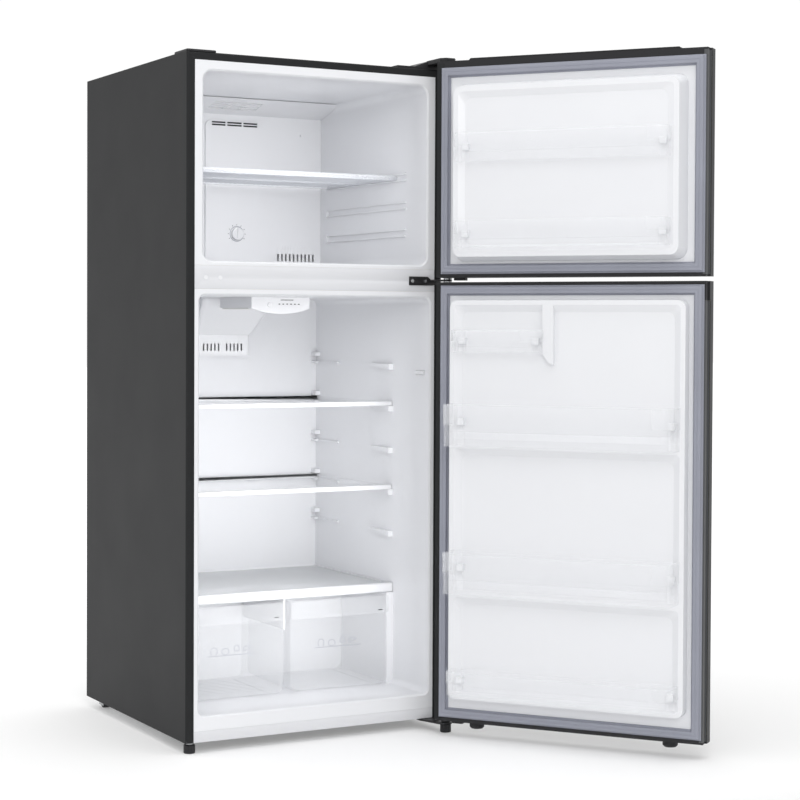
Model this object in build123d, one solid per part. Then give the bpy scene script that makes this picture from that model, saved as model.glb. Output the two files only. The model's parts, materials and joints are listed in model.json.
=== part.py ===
"""Top freezer refrigerator with both doors standing open, as separate physical pieces.

Millimetres, +Z up.  While it is being built the cabinet's front face is y = 0, the cabinet
runs back along +Y, x = 0 is the cabinet's middle and z = 0 is the floor.  Doors are drawn
closed and then swung open about the hinge line.  At the end everything is moved so that the
origin lies on the floor under the middle of the whole object's bounding box.
"""
from build123d import *
import os
from math import cos, radians, sin

# ---------------------------------------------------------------- driving dimensions
# cabinet case
CABINET_WIDTH = 700.0
CABINET_DEPTH = 686.0
PANEL_BOTTOM = 27.0            # underside of the side panels above the floor
PANEL_TOP = 1677.0
SHEET = 1.0                    # cabinet sheet steel
CASE_ROUND = 4.0               # rounding of the case's front edges
SIDE_FLANGE = 20.6             # dark front return of the side panels
TOP_FLANGE = 18.9
BACK_SHEET = 1.0
GAP = 0.3                      # air left between neighbouring pieces
SEAT = 0.2                     # air round a piece that is set into a frame
PAST = 5.0                     # how far a cutter runs past the face it opens

# compartments
LINER = 1.5                    # vacuum formed liner sheet
FREEZER_HALF = 306.6           # half width of the freezer opening
FREEZER_Z = (1180.5, 1634.3)
FREEZER_CORNER = 24.0
FRIDGE_HALF = 316.2
FRIDGE_Z = (88.7, 1099.2)
FRIDGE_CORNER = 16.0
MOUTH = 4.0                    # flare at the front of both openings
CAVITY_BACK = 645.0            # inner face of both liners' back walls
MULLION_Z = (1113.8, 1170.1)
RAIL_TOP = 53.6                # joint between the fridge liner's flange and the bottom rail
STEP_FRONT = 440.0             # liner step over the compressor space
STEP_TOP = 330.0
CRISPER_HALF = 295.0           # half width between the liner steps beside the crispers
CRISPER_LEDGE = 327.0
LEDGE_FRONT = 186.0
MACHINE_FRONT = 478.0
MACHINE_TOP = 290.0
SHELF_LEVELS = (927.0, 817.0, 707.0, 597.0, 487.0)
USED_LEVELS = {"upper": 817.0, "lower": 597.0}
FREEZER_TRACKS = (1405.0, 1332.0, 1261.0)

# hinges and screws
HINGE_X = 336.0
HINGE_Y = -56.0
DOOR_OPEN = 126.9              # both doors, degrees from closed
PIN_R = 4.0
PIN_CLEARANCE = 0.05
HINGE_PLATE = 3.0
ARM_LIFT = 2.0                 # top hinge arm above the freezer door
COVER_TOP = 1698.0
COVER_WALL = 1.8
SCREW_HOLE = 2.6               # radius
MID_Z = 1141.0                 # height of the middle hinge's screws
MID_SCREW_X = (262.6, 300.4)
TOP_SCREWS = ((294, 28), (294, 74), (330, 52))
LOW_SCREWS = ((304, 12), (336, 12))

# feet and rollers
FOOT_R = 14.0
FOOT_HEIGHT = 21.0
STUD_R = 4.0
LEFT_FOOT = (-332.0, 20.0)
ROLLER_X = 312.0
ROLLER_Y = 640.0
ROLLER_R = 14.0
ROLLER_HALF = 10.0
AXLE_R = 3.0

# machine space
COMPRESSOR = (140.0, 576.0)
COMPRESSOR_R = 74.0
COMPRESSOR_Z = (66.0, 206.0)
MOUNT_REACH = (80.0, 40.0)     # mounts from the compressor's axis, along x and y
INLET = (0.0, 250.0)           # x and z of the power inlet in the rear cover
INLET_R = 9.0

# freezer back panel and cold parts
EVAP_FACE = 599.0              # front of the freezer's back panel
EVAP_SHEET = 2.6
SLOPE_FRONT = 474.0            # where the sloped top of the panel meets the ceiling
SLOPE_Z = (1602.0, 1632.5)
RAISED_X = (-46.0, 141.0)      # raised field of the panel
RAISED_Z = (1184.0, 1585.0)
RAISED = 5.0
KNOB = (47.0, 1277.0)
KNOB_R = 17.0
KNOB_SHAFT = 6.05
FAN = (40.0, 1492.0)
FAN_BLADES = 5
FIN_COUNT = 28
FIN_PITCH = 12.0
TUBE_R = 4.0
TUBE_ROWS = 6
TUBE_PITCH = 29.6
TUBE_END = 172.0
BEND_R = 5.2                   # end pieces are thicker than the tubes that run into them
SHELF_Z = 1405.4
SLATS = 41
SLAT_PITCH = 14.0

# fridge duct, light and controls
DUCT_HALF = (84.0, 108.0)      # half width below and at the ceiling
DUCT_FRONT = (581.0, 452.0)    # front face below and at the ceiling
DUCT_Z = (944.0, 1000.0, 1098.6)
DUCT_WALL = 2.0
HOUSING_FRONT = 215.0
HOUSING_HALF = 82.0
BUTTON = (-31.5, 1079.0)
BUTTON_R = 6.25
SWITCH_Z = 908.0

# glass shelves, crisper cover and crispers
SHELF_Y = (193.0, 642.0)
SHELF_THICK = 12.0
GLASS = 4.0
COVER_TOP_Z = 351.0
CRISPER_X = (9.0, 290.0)
CRISPER_Y = (172.0, 432.0)
CRISPER_Z = (91.0, 323.0)
CRISPER_WALL = 2.4
CRISPER_BAND = 46.0            # height of the handle band

# doors
DOOR_FREE = -347.0             # door edge away from the hinges
DOOR_GRIP = -342.2             # recessed rear half of that edge
DOOR_HINGED = 349.5
DOOR_BACK = -14.0              # door face turned to the cabinet
DOOR_FRONT = -68.3
DOOR_ROUND = 8.0
GRIP_STEP = -34.0
DOOR_SHEET = 0.8
CAP = 5.0
CAP_LIP = 10.0                 # how far a cap's lip reaches into the skin
SLEEVE = 26.0                  # hinge sleeve in a cap
FREEZER_DOOR_Z = (1148.0, 1687.0)
FRIDGE_DOOR_Z = (36.4, 1136.7)
RIDGE = 6.6                    # raised ridge on the freezer door's top cap
LEG = 46.0                     # cap leg down the fridge door's free edge
BOSS_X = (246.0, -254.0)       # round bosses under the fridge door
DOOR_LINER = 1.2
BACK_RETURN = 1.4              # thickness of the grip strip and the caps on the door's back
STRIP_END = -333.0             # where the grip strip's return ends on the door's back
SKIN_END = 329.0               # where the skin's return starts on the door's back
SHEET_X = (-331.0, 328.6)      # liner sheet between those two
FREEZER_SHEET_Z = (1163.0, 1664.0)
FRIDGE_SHEET_Z = (53.0, 1122.0)

# door seals
GASKET_X = (-338.4, 336.4)
GASKET_W = 24.9
FREEZER_GASKET_Z = (1156.9, 1669.9)
FRIDGE_GASKET_Z = (47.0, 1128.3)

# door liner forms: x0, x1, z0, z1 at the foot of each plateau
FREEZER_BASE = (-296.5, 298.5, 1187.0, 1628.0)
FREEZER_CREST_Y = 30.0
FREEZER_FLANK = 11.0           # how far the plateau draws in to its crest
FREEZER_RIM = 13.0             # width of the crest round the sunk field
FRIDGE_BASE = (-302.0, 303.0, 98.0, 1093.0)
FRIDGE_CREST_Y = 13.0
FIELD_X = (-288.0, 289.0)
FIELDS = ((748.0, 1080.0), (378.0, 725.0), (112.0, 355.0))

# door bins: extent, depth of the liner behind, height of the hooks, slots in the floor
BIN_WALL = 2.0
BIN_STEP = 1.6                 # the lower half of a bin is this much smaller
BIN_ROUND = 22.0
FREEZER_BIN = {"x": (-268, 274), "y": (31.0, 79.0), "root": 21.0, "slots": 5}
WIDE_BIN = {"x": (-290, 290), "y": (14.0, 98.0), "root": -1.0, "slots": 0}
FREEZER_BINS = {
    "freezer_bin_upper": {**FREEZER_BIN, "z": (1430, 1500), "hook": 46},
    "freezer_bin_lower": {**FREEZER_BIN, "z": (1220, 1285), "hook": 42},
}
FRIDGE_BINS = {
    "dairy_bin": {**WIDE_BIN, "x": (54, 287), "y": (14.0, 56.0), "z": (963, 1018), "hook": 36},
    "fridge_bin_upper": {**WIDE_BIN, "z": (733, 836), "hook": 66},
    "fridge_bin_middle": {**WIDE_BIN, "z": (371, 472), "hook": 66},
    "fridge_bin_lower": {**WIDE_BIN, "y": (14.0, 73.0), "z": (117, 177), "hook": 40},
}

# worked out from the above
HALF = CABINET_WIDTH / 2
FRAME_HALF = HALF - SIDE_FLANGE
FRAME_TOP = PANEL_TOP - TOP_FLANGE
ARM_Z = FREEZER_DOOR_Z[1] + ARM_LIFT
SIDES = (-1, 1)


# ---------------------------------------------------------------- small building blocks
def slab(x0, x1, y0, y1, z0, z1):
    centre = Pos((x0 + x1) / 2, (y0 + y1) / 2, (z0 + z1) / 2)
    return centre * Box(abs(x1 - x0), abs(y1 - y0), abs(z1 - z0))


def outline_y(x0, x1, z0, z1, y, corner):
    plane = Plane(origin=((x0 + x1) / 2, y, (z0 + z1) / 2), x_dir=(1, 0, 0), z_dir=(0, 1, 0))
    return plane * RectangleRounded(x1 - x0, z1 - z0, corner)


def panel_y(x0, x1, z0, z1, y0, y1, corner):
    """Rounded rectangle seen from the front, y0 to y1 deep."""
    return extrude(outline_y(x0, x1, z0, z1, y0, corner), amount=y1 - y0)


def panel_z(x0, x1, y0, y1, z0, z1, corner):
    """Rounded rectangle seen from above, z0 to z1 high."""
    face = Pos((x0 + x1) / 2, (y0 + y1) / 2, z0) * RectangleRounded(x1 - x0, y1 - y0, corner)
    return extrude(face, amount=z1 - z0)


def mound_y(low, high, y0, y1, corner):
    """Loft from one rounded rectangle (x0, x1, z0, z1) at y0 to another at y1."""
    drawn_in = abs(high[0] - low[0])
    first = outline_y(*low, y0, corner)
    second = outline_y(*high, y1, max(corner - drawn_in / 2, 3.0))
    return loft([first.face(), second.face()])


def rod(start, end, radius):
    """Round bar between two points."""
    start = Vector(*start)
    run = Vector(*end) - start
    plane = Plane(origin=start, z_dir=run)
    return extrude(plane * Circle(radius), amount=run.length)


def post(x, y, z0, z1, radius):
    return rod((x, y, z0), (x, y, z1), radius)


def peg(x, z, y0, y1, radius):
    return rod((x, y0, z), (x, y1, z), radius)


def inset_box(box, amount):
    return (box[0] + amount, box[1] - amount, box[2] + amount, box[3] - amount)


def fuse(shapes):
    shapes = list(shapes)
    result = shapes[0]
    for shape in shapes[1:]:
        result = result + shape
    return result


def side_profile(points, x0, x1):
    """Shape with a (y, z) outline, running from x0 to x1."""
    plane = Plane(origin=(x0, 0, 0), x_dir=(0, 1, 0), z_dir=(1, 0, 0))
    return extrude(plane * make_face(Polyline(*points, close=True)), amount=x1 - x0)


def front_profile(points, y0, y1):
    """Shape with an (x, z) outline, running from y0 to y1."""
    plane = Plane(origin=(0, y1, 0), x_dir=(1, 0, 0), z_dir=(0, -1, 0))
    return extrude(plane * make_face(Polyline(*points, close=True)), amount=y1 - y0)


def top_profile(points, z0, z1):
    """Shape with an (x, y) outline, running from z0 to z1."""
    return extrude(Pos(0, 0, z0) * make_face(Polyline(*points, close=True)), amount=z1 - z0)


def mirror_x(shape):
    return mirror(shape, about=Plane.YZ)


def round_ends(shape):
    return shape.edges().filter_by(GeomType.CIRCLE)


def pan_screw(start, end, head_height=2.6):
    """Screw whose head sits at start and whose shank runs to end."""
    head_r, shank_r, cross_width, cross_depth = 4.5, 2.2, 1.0, 1.2
    start = Vector(*start)
    run = (Vector(*end) - start).normalized()
    top = start - run * head_height
    screw = rod(top, start, head_r) + rod(start, end, shank_r)
    plane = Plane(origin=top, z_dir=run)
    screw -= extrude(plane * Rectangle(head_r * 1.1, cross_width), amount=cross_depth)
    screw -= extrude(plane * Rectangle(cross_width, head_r * 1.1), amount=cross_depth)
    return screw


# ---------------------------------------------------------------- cabinet case
def soft_front_box(inset, y0, y1, z0, z1, radius):
    box = slab(-HALF + inset, HALF - inset, y0, y1, z0, z1)
    upright = box.edges().filter_by(Axis.Z).sort_by(Axis.Y)[:2]
    brow = box.edges().filter_by(Axis.X).group_by(Axis.Z)[-1].sort_by(Axis.Y)[:1]
    return fillet(list(upright) + list(brow), radius)


def cabinet_shell():
    """Folded steel case: two sides and a top, with narrow flanges at the front and back."""
    back_flange = 14.0
    foot_flange = 8.0
    shell = soft_front_box(0, 0, CABINET_DEPTH, PANEL_BOTTOM, PANEL_TOP, CASE_ROUND)
    shell -= soft_front_box(SHEET, SHEET, CABINET_DEPTH - SHEET, PANEL_BOTTOM - PAST,
                            PANEL_TOP - SHEET, CASE_ROUND - SHEET)
    shell -= slab(-FRAME_HALF, FRAME_HALF, -1, 3, 0, FRAME_TOP)
    shell -= slab(-HALF + back_flange, HALF - back_flange, CABINET_DEPTH - 3, CABINET_DEPTH + 1,
                  0, PANEL_TOP - back_flange)
    for side in SIDES:
        shell += slab(side * (HALF - foot_flange), side * (HALF - SHEET), 5, CABINET_DEPTH - 6,
                      PANEL_BOTTOM, PANEL_BOTTOM + SHEET)
    for x, y in TOP_SCREWS:
        shell -= post(x, y, PANEL_TOP - 3, PANEL_TOP + 2, SCREW_HOLE)
    return shell


def cabinet_back():
    """Rear sheet with five upright stiffening beads."""
    edge = 2.5
    bead_half = 9.0
    outside = CABINET_DEPTH - 1.2
    back = slab(-HALF + edge, HALF - edge, outside - BACK_SHEET, outside,
                MACHINE_TOP + 12, PANEL_TOP - edge)
    for x in (-220, -110, 0, 110, 220):
        back += panel_y(x - bead_half, x + bead_half, MACHINE_TOP + 90, PANEL_TOP - 110,
                        outside, outside + 1, bead_half - 0.5)
    return back


# ---------------------------------------------------------------- compartments
# A space is the free room inside a compartment, or that room grown outwards.
def freezer_space(grow, y0, y1):
    return panel_y(-FREEZER_HALF - grow, FREEZER_HALF + grow, FREEZER_Z[0] - grow,
                   FREEZER_Z[1] + grow, y0, y1, FREEZER_CORNER + grow)


def fridge_space(grow, y0, y1):
    """Room with a step over the machine space and a ledge on each side of the crispers."""
    room = panel_y(-FRIDGE_HALF - grow, FRIDGE_HALF + grow, FRIDGE_Z[0] - grow,
                   FRIDGE_Z[1] + grow, y0, y1, FRIDGE_CORNER + grow)
    room -= slab(-HALF, HALF, STEP_FRONT + grow, CABINET_DEPTH, 0, STEP_TOP - grow)
    for side in SIDES:
        room -= slab(side * (CRISPER_HALF + grow), side * HALF, LEDGE_FRONT + grow,
                     CABINET_DEPTH, 0, CRISPER_LEDGE - grow)
    return room


def mouth(half_width, heights, corner, grow):
    """Flared entry of an opening."""
    plain = (-half_width - grow, half_width + grow, heights[0] - grow, heights[1] + grow)
    first = outline_y(*inset_box(plain, -MOUTH), 0, corner + MOUTH + grow)
    second = outline_y(*plain, MOUTH, corner + grow)
    return loft([first.face(), second.face()])


def freezer_mouth(grow):
    return mouth(FREEZER_HALF, FREEZER_Z, FREEZER_CORNER, grow)


def fridge_mouth(grow):
    return mouth(FRIDGE_HALF, FRIDGE_Z, FRIDGE_CORNER, grow)


def freezer_liner():
    """White liner with three pairs of shelf tracks."""
    rail = 3.0
    spacing = 13.2
    liner = slab(-FRAME_HALF + SEAT, FRAME_HALF - SEAT, 0, LINER, MULLION_Z[1] + SEAT, FRAME_TOP - SEAT)
    liner += freezer_space(LINER, 0, CAVITY_BACK + LINER) + freezer_mouth(LINER)
    liner -= freezer_space(0, -1, CAVITY_BACK) + freezer_mouth(0)
    for level in FREEZER_TRACKS:
        for side in SIDES:
            wall = side * (FREEZER_HALF + 0.8)
            liner += slab(wall, side * (FREEZER_HALF - 5), 108, 556, level - rail, level)
            liner += slab(wall, side * (FREEZER_HALF - 5), 108, 556, level + spacing, level + spacing + rail)
            liner += slab(wall, side * (FREEZER_HALF - 7), 550, 560, level - rail, level + spacing + rail)
    return liner


def fridge_liner():
    """White liner with five pairs of shelf supports and a hole for the light switch."""
    liner = slab(-FRAME_HALF + SEAT, FRAME_HALF - SEAT, 0, LINER, RAIL_TOP + SEAT, MULLION_Z[0] - SEAT)
    liner += fridge_space(LINER, 0, CAVITY_BACK + LINER) + fridge_mouth(LINER)
    liner -= fridge_space(0, -1, CAVITY_BACK) + fridge_mouth(0)
    for level in SHELF_LEVELS:
        wedge = side_profile([(192, level - 15), (192, level), (300, level), (300, level - 5)],
                             FRIDGE_HALF - 13, FRIDGE_HALF + 0.8)
        liner += wedge + mirror_x(wedge)
        for side in SIDES:
            wall = side * (FRIDGE_HALF + 0.8)
            block = side * (FRIDGE_HALF - 15)
            liner += slab(wall, side * (FRIDGE_HALF - 6), 500, 620, level - 5, level)
            liner += slab(wall, block, 618, CAVITY_BACK + 0.5, level - 5, level)
            liner += slab(wall, block, 618, CAVITY_BACK + 0.5, level + 14, level + 25)
    return liner - slab(FRIDGE_HALF - 2, FRIDGE_HALF + 4, 24, 68, SWITCH_Z - 6, SWITCH_Z + 6)


def cabinet_foam():
    """Insulation between the case and the two liners."""
    around = LINER + GAP
    foam = soft_front_box(SHEET + SEAT, 2.2, CABINET_DEPTH - 2.4, RAIL_TOP + 4.0,
                          PANEL_TOP - SHEET - SEAT, CASE_ROUND + 0.5)
    foam -= freezer_space(around, -PAST, CAVITY_BACK + around)
    foam -= freezer_mouth(around)
    foam -= fridge_space(around, -PAST, CAVITY_BACK + around)
    foam -= fridge_mouth(around)
    foam -= slab(-HALF - PAST, HALF + PAST, MACHINE_FRONT, CABINET_DEPTH + PAST, 0, MACHINE_TOP)
    foam -= slab(FRIDGE_HALF, FRIDGE_HALF + 22, 22, 70, SWITCH_Z - 8, SWITCH_Z + 8)
    for x in MID_SCREW_X:
        foam -= peg(x, MID_Z, -2, 30, SCREW_HOLE)
    for x, y in TOP_SCREWS:
        foam -= post(x, y, PANEL_TOP + 1, PANEL_TOP - 26, SCREW_HOLE)
    return foam


# ---------------------------------------------------------------- front cover strips
PLUG_HOLE = 3.1


def mullion_cover():
    """White strip between the two compartments, drilled on both sides for the hinge."""
    strip = slab(-FRAME_HALF + SEAT, FRAME_HALF - SEAT, 0, LINER, *MULLION_Z)
    for x in MID_SCREW_X:
        strip -= peg(x, MID_Z, -2, 5, SCREW_HOLE)
        strip -= peg(-x, MID_Z, -2, 5, PLUG_HOLE)
    return strip


def mullion_plug(x):
    return peg(x, MID_Z, 0, -1.4, 5.0) + peg(x, MID_Z, 0, 2.0, PLUG_HOLE - GAP)


def front_rail():
    """Bottom rail with a flange under it that the feet and the hinge pass through."""
    rail = slab(-FRAME_HALF + SEAT, FRAME_HALF - SEAT, 0, LINER, PANEL_BOTTOM, RAIL_TOP)
    rail += slab(-FRAME_HALF + SEAT, FRAME_HALF - SEAT, 0, 24, PANEL_BOTTOM, PANEL_BOTTOM + LINER)
    rail -= post(*LEFT_FOOT, 20, 32, 9.5)
    for x, y in LOW_SCREWS:
        rail -= post(x, y, 20, 32, SCREW_HOLE)
    return rail


# ---------------------------------------------------------------- base frame, feet, rollers
def base_frame():
    """Pressed steel base: floor plate, side rails, machine space tray, roller cheeks and axles."""
    steel = 2.0
    rail = 346.0
    deck = RAIL_TOP + 3.4
    tray = 44.0
    rear = 676.0
    behind_foam = MACHINE_FRONT + GAP
    base = slab(-rail, rail, 26, MACHINE_FRONT + 1, RAIL_TOP + 1.6, deck)
    base += slab(-rail, rail, behind_foam, behind_foam + steel, tray, MACHINE_TOP - 4)
    base += slab(-rail, rail, behind_foam, rear, tray, tray + steel)
    base += slab(-300, 300, rear - steel, rear, tray, tray + 14)
    for side in SIDES:
        base += slab(side * rail, side * (rail - steel), 26, rear, 30, deck)
        base += slab(side * rail, side * 300, 200, rear, 30, 30 + steel)
        for x in (ROLLER_X - 14, ROLLER_X + 12):
            base += slab(side * x, side * (x + steel), ROLLER_Y - 15, ROLLER_Y + 15, 8, tray + steel)
        base -= slab(side * (ROLLER_X - 12), side * (ROLLER_X + 12), ROLLER_Y - 18, ROLLER_Y + 18, 29, 33)
        base += rod((side * (ROLLER_X - 14), ROLLER_Y, ROLLER_R),
                    (side * (ROLLER_X + 14), ROLLER_Y, ROLLER_R), AXLE_R)
    return base + left_foot_boss() - post(*LEFT_FOOT, 10, 80, STUD_R + PIN_CLEARANCE)


def left_foot_boss():
    x, y = LEFT_FOOT
    boss = slab(x - 14, -300, 6, 40, 28.8, 31.0)
    boss += post(x, y, 21.6, 31.0, 9.0)
    boss += slab(-346, -310, 24, 40, 28.8, RAIL_TOP + 1.6)
    return boss - slab(-344, -312, 22, 38, 31.0, 80)


def levelling_foot(x, y, stud_top):
    """Disc with a ribbed grip and a stud above it."""
    grips = 12
    foot = post(x, y, 0, FOOT_HEIGHT, FOOT_R)
    foot = chamfer(round_ends(foot), 1.6)
    for turn in range(grips):
        angle = radians(360 / grips * turn)
        reach = FOOT_R + 0.6
        foot -= post(x + reach * cos(angle), y + reach * sin(angle), 4, FOOT_HEIGHT - 3, 1.6)
    return foot + post(x, y, FOOT_HEIGHT - 0.5, stud_top, STUD_R)


def rear_roller(side):
    start, end = ROLLER_X - ROLLER_HALF, ROLLER_X + ROLLER_HALF
    wheel = rod((side * start, ROLLER_Y, ROLLER_R), (side * end, ROLLER_Y, ROLLER_R), ROLLER_R)
    wheel = chamfer(round_ends(wheel), 1.5)
    return wheel - rod((side * (start - 1), ROLLER_Y, ROLLER_R),
                       (side * (end + 1), ROLLER_Y, ROLLER_R), AXLE_R + PIN_CLEARANCE)


# ---------------------------------------------------------------- top trims and hinges
def corner_cap():
    cap = slab(-HALF, -HALF + 77, SEAT, 82, PANEL_TOP + 0.1, PANEL_TOP + 5.5)
    cap = fillet(cap.edges().filter_by(Axis.Z), 6)
    return fillet(cap.faces().sort_by(Axis.Z)[-1].edges(), 2.5)


def top_hinge():
    """Plate screwed to the cabinet top, stepped up to an arm that carries the upper pin."""
    seat = PANEL_TOP + 0.1
    plate = slab(256, 344, 12, 90, seat, seat + HINGE_PLATE)
    plate += slab(314, 344, 9, 12.5, seat, ARM_Z + HINGE_PLATE)
    plate += slab(314, 344, HINGE_Y, 12.5, ARM_Z, ARM_Z + HINGE_PLATE)
    plate += post(329, HINGE_Y, ARM_Z, ARM_Z + HINGE_PLATE, 15)
    plate += post(HINGE_X, HINGE_Y, ARM_Z + HINGE_PLATE, FREEZER_DOOR_Z[1] - 22, PIN_R)
    for x, y in TOP_SCREWS:
        plate -= post(x, y, PANEL_TOP - 2, PANEL_TOP + 5, SCREW_HOLE)
    return plate


def hinge_cover_form(trim):
    """Low tail on the cabinet, hump over the arm and nose over the pin, drawn in by trim."""
    top = COVER_TOP - trim
    right = DOOR_HINGED - trim
    seat = PANEL_TOP + 0.1
    low = PANEL_TOP + 5.4 - trim
    tail = slab(222 + trim, right, 4 + trim, 96 - trim, seat, low)
    slope = [(262 + trim, seat), (272 + trim, low), (312 + trim, top), (right, top), (right, seat)]
    hump = front_profile(slope, 4 + trim, 96 - trim)
    tip = -76 + trim
    plan = [(307 + trim, 6), (307 + trim, -62), (318 + trim, tip),
            (341 - trim, tip), (right, -66), (right, 6)]
    return tail + hump + top_profile(plan, ARM_Z - 1.2, top)


def top_hinge_cover():
    cover = hinge_cover_form(0) - hinge_cover_form(COVER_WALL)
    inside = DOOR_HINGED - COVER_WALL
    cover -= slab(308.8, inside, -50, 8, ARM_Z - 3, COVER_TOP - COVER_WALL)
    cover -= slab(309, inside, -74, 8, ARM_Z - 4, ARM_Z)
    cover -= slab(224, inside, 5.8, 94.2, PANEL_TOP - 1, PANEL_TOP + 3.4)
    return cover


def middle_hinge():
    """Bracket on the mullion, with an arm between the doors and a pin up and down."""
    bracket = front_profile([(255, MID_Z - 11), (322, MID_Z - 11), (346, MID_Z - 5), (346, MID_Z + 3),
                             (318, MID_Z + 3), (308, MID_Z + 11), (255, MID_Z + 11)], -3.2, -SEAT)
    bracket += slab(314, 346, HINGE_Y, -SEAT, MID_Z - 1, MID_Z + 3)
    bracket += post(330, HINGE_Y, MID_Z - 1, MID_Z + 3, 16)
    bracket += post(HINGE_X, HINGE_Y, FRIDGE_DOOR_Z[1] - 24, FREEZER_DOOR_Z[0] + 22, PIN_R)
    for x in MID_SCREW_X:
        bracket -= peg(x, MID_Z, -6, 2, SCREW_HOLE)
    return bracket


def bottom_hinge():
    """Plate under the cabinet with the lowest pin above it and the right foot's thread below."""
    plate_z = (22.4, 26.4)
    plan = [(292, 22), (292, -2), (312, -62), (320, -74), (344, -74), (348, -66), (348, 22)]
    plate = top_profile(plan, *plate_z)
    plate += post(HINGE_X, HINGE_Y, plate_z[0], 29.0, 12)
    plate += post(HINGE_X, HINGE_Y, 28, FRIDGE_DOOR_Z[0] + 24, PIN_R)
    plate -= post(HINGE_X, HINGE_Y, 20, 28.2, STUD_R + PIN_CLEARANCE)
    for x, y in LOW_SCREWS:
        plate -= post(x, y, 20, 30, SCREW_HOLE)
    return plate


def hinge_screws():
    screws = [pan_screw((x, -3.2, MID_Z), (x, 24, MID_Z)) for x in MID_SCREW_X]
    screws += [pan_screw((x, y, PANEL_TOP + 3.1), (x, y, PANEL_TOP - 20), 2.2) for x, y in TOP_SCREWS]
    screws += [pan_screw((x, y, 22.4), (x, y, 44)) for x, y in LOW_SCREWS]
    return Compound(screws)


# ---------------------------------------------------------------- machine space at the back
MOUNT_SPOTS = [(COMPRESSOR[0] + dx * MOUNT_REACH[0], COMPRESSOR[1] + dy * MOUNT_REACH[1])
               for dx in SIDES for dy in SIDES]


def compressor():
    """Sealed can on a foot plate, with its terminal box and three stub pipes."""
    x, y = COMPRESSOR
    can = post(x, y, *COMPRESSOR_Z, COMPRESSOR_R)
    can = fillet(round_ends(can), 26)
    can += slab(x - 92, x + 92, y - 50, y + 50, 62, 66.5)
    can += post(x, y, 64, 70, 60)
    for spot in MOUNT_SPOTS:
        can -= post(*spot, 50, 80, 6.2)
    can += slab(x - 108, x - 66, y - 24, y + 30, 100, 160)
    for dx, dy, radius in ((40, -30, 5.0), (-20, -40, 3.2), (44, 20, 3.2)):
        can += post(x + dx, y + dy, 180, 262, radius)
    return can


def compressor_mount(x, y):
    """Rubber grommet, necked where the foot plate sits."""
    return post(x, y, 46.1, 61.8, 11) + post(x, y, 61.8, 67.0, 6.0) + post(x, y, 67.0, 71.0, 9.5)


def rear_cover():
    """Sheet over the machine space, with rows of vents and a hole for the power inlet."""
    cover = slab(-334, 334, CABINET_DEPTH - 2.4, CABINET_DEPTH - 1.2, 62, MACHINE_TOP + 10)
    for row in range(9):
        z = 92 + row * 20
        for x in (-250, -150, 150, 250):
            cover -= panel_y(x - 38, x + 38, z - 3, z + 3, CABINET_DEPTH - 5, CABINET_DEPTH + 1, 2.9)
    return cover - peg(*INLET, CABINET_DEPTH - 5, CABINET_DEPTH + 2, INLET_R + SEAT)


def power_inlet():
    """Gland with a flange on each side of the rear cover."""
    flange_r = INLET_R + 3.5
    gland = peg(*INLET, CABINET_DEPTH - 12, CABINET_DEPTH + 3, INLET_R)
    gland += peg(*INLET, CABINET_DEPTH - 1.2, CABINET_DEPTH + 1.5, flange_r)
    gland += peg(*INLET, CABINET_DEPTH - 5.4, CABINET_DEPTH - 2.4, flange_r)
    return gland - peg(*INLET, CABINET_DEPTH - 14, CABINET_DEPTH + 5, 4.0)


# ---------------------------------------------------------------- freezer back panel and cold parts
def outlet_slots():
    """Two rows of three long slots near the top of the raised field."""
    return fuse(panel_y(x0, x1, z0, z0 + 4.5, EVAP_FACE - 7, EVAP_FACE + PAST, 1.5)
                for z0 in (1577.5, 1570.5) for x0, x1 in ((-28, 14), (18, 62), (66, 109)))


def evaporator_cover():
    """Back panel with a sloped top, a raised field, outlet slots, a return grille and louvres."""
    panel = side_profile([(EVAP_FACE, FREEZER_Z[0] + 0.5), (EVAP_FACE + EVAP_SHEET, FREEZER_Z[0] + 0.5),
                          (EVAP_FACE + EVAP_SHEET, SLOPE_Z[0] + 2.5), (SLOPE_FRONT + 6, SLOPE_Z[1] + 1.5),
                          (SLOPE_FRONT, SLOPE_Z[1]), (EVAP_FACE, SLOPE_Z[0])],
                         -FREEZER_HALF + 0.4, FREEZER_HALF - 0.4)
    panel &= freezer_space(-GAP, 0, CAVITY_BACK)
    field = (*RAISED_X, *RAISED_Z)
    panel += panel_y(*field, EVAP_FACE - RAISED, EVAP_FACE + EVAP_SHEET, 18)
    panel -= panel_y(*inset_box(field, EVAP_SHEET), EVAP_FACE - 2.4, EVAP_FACE + 3, 18 - EVAP_SHEET)
    panel -= outlet_slots()
    panel += panel_y(-34, 115, 1567, 1584.6, EVAP_FACE - 3, EVAP_FACE - 0.2, 2.0) - outlet_slots()
    for count in range(10):
        x = 172 + 12 * count
        panel -= slab(x, x + 5, EVAP_FACE - 2, EVAP_FACE + PAST, 1205, 1225)
    rise = (SLOPE_Z[1] - SLOPE_Z[0]) / (EVAP_FACE - SLOPE_FRONT)
    for y in (508, 524, 540, 556):
        z = SLOPE_Z[0] + (EVAP_FACE - y) * rise
        for x0, x1 in ((-56, -12), (-8, 38), (42, 84)):
            panel -= slab(x0, x1, y - 4, y + 4, z - 8, z + 12)
    panel -= peg(*KNOB, EVAP_FACE - 10, EVAP_FACE + 10, KNOB_SHAFT + PIN_CLEARANCE)
    return panel - peg(241, 1555, EVAP_FACE - 2, EVAP_FACE + 10, 2.4)


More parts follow.
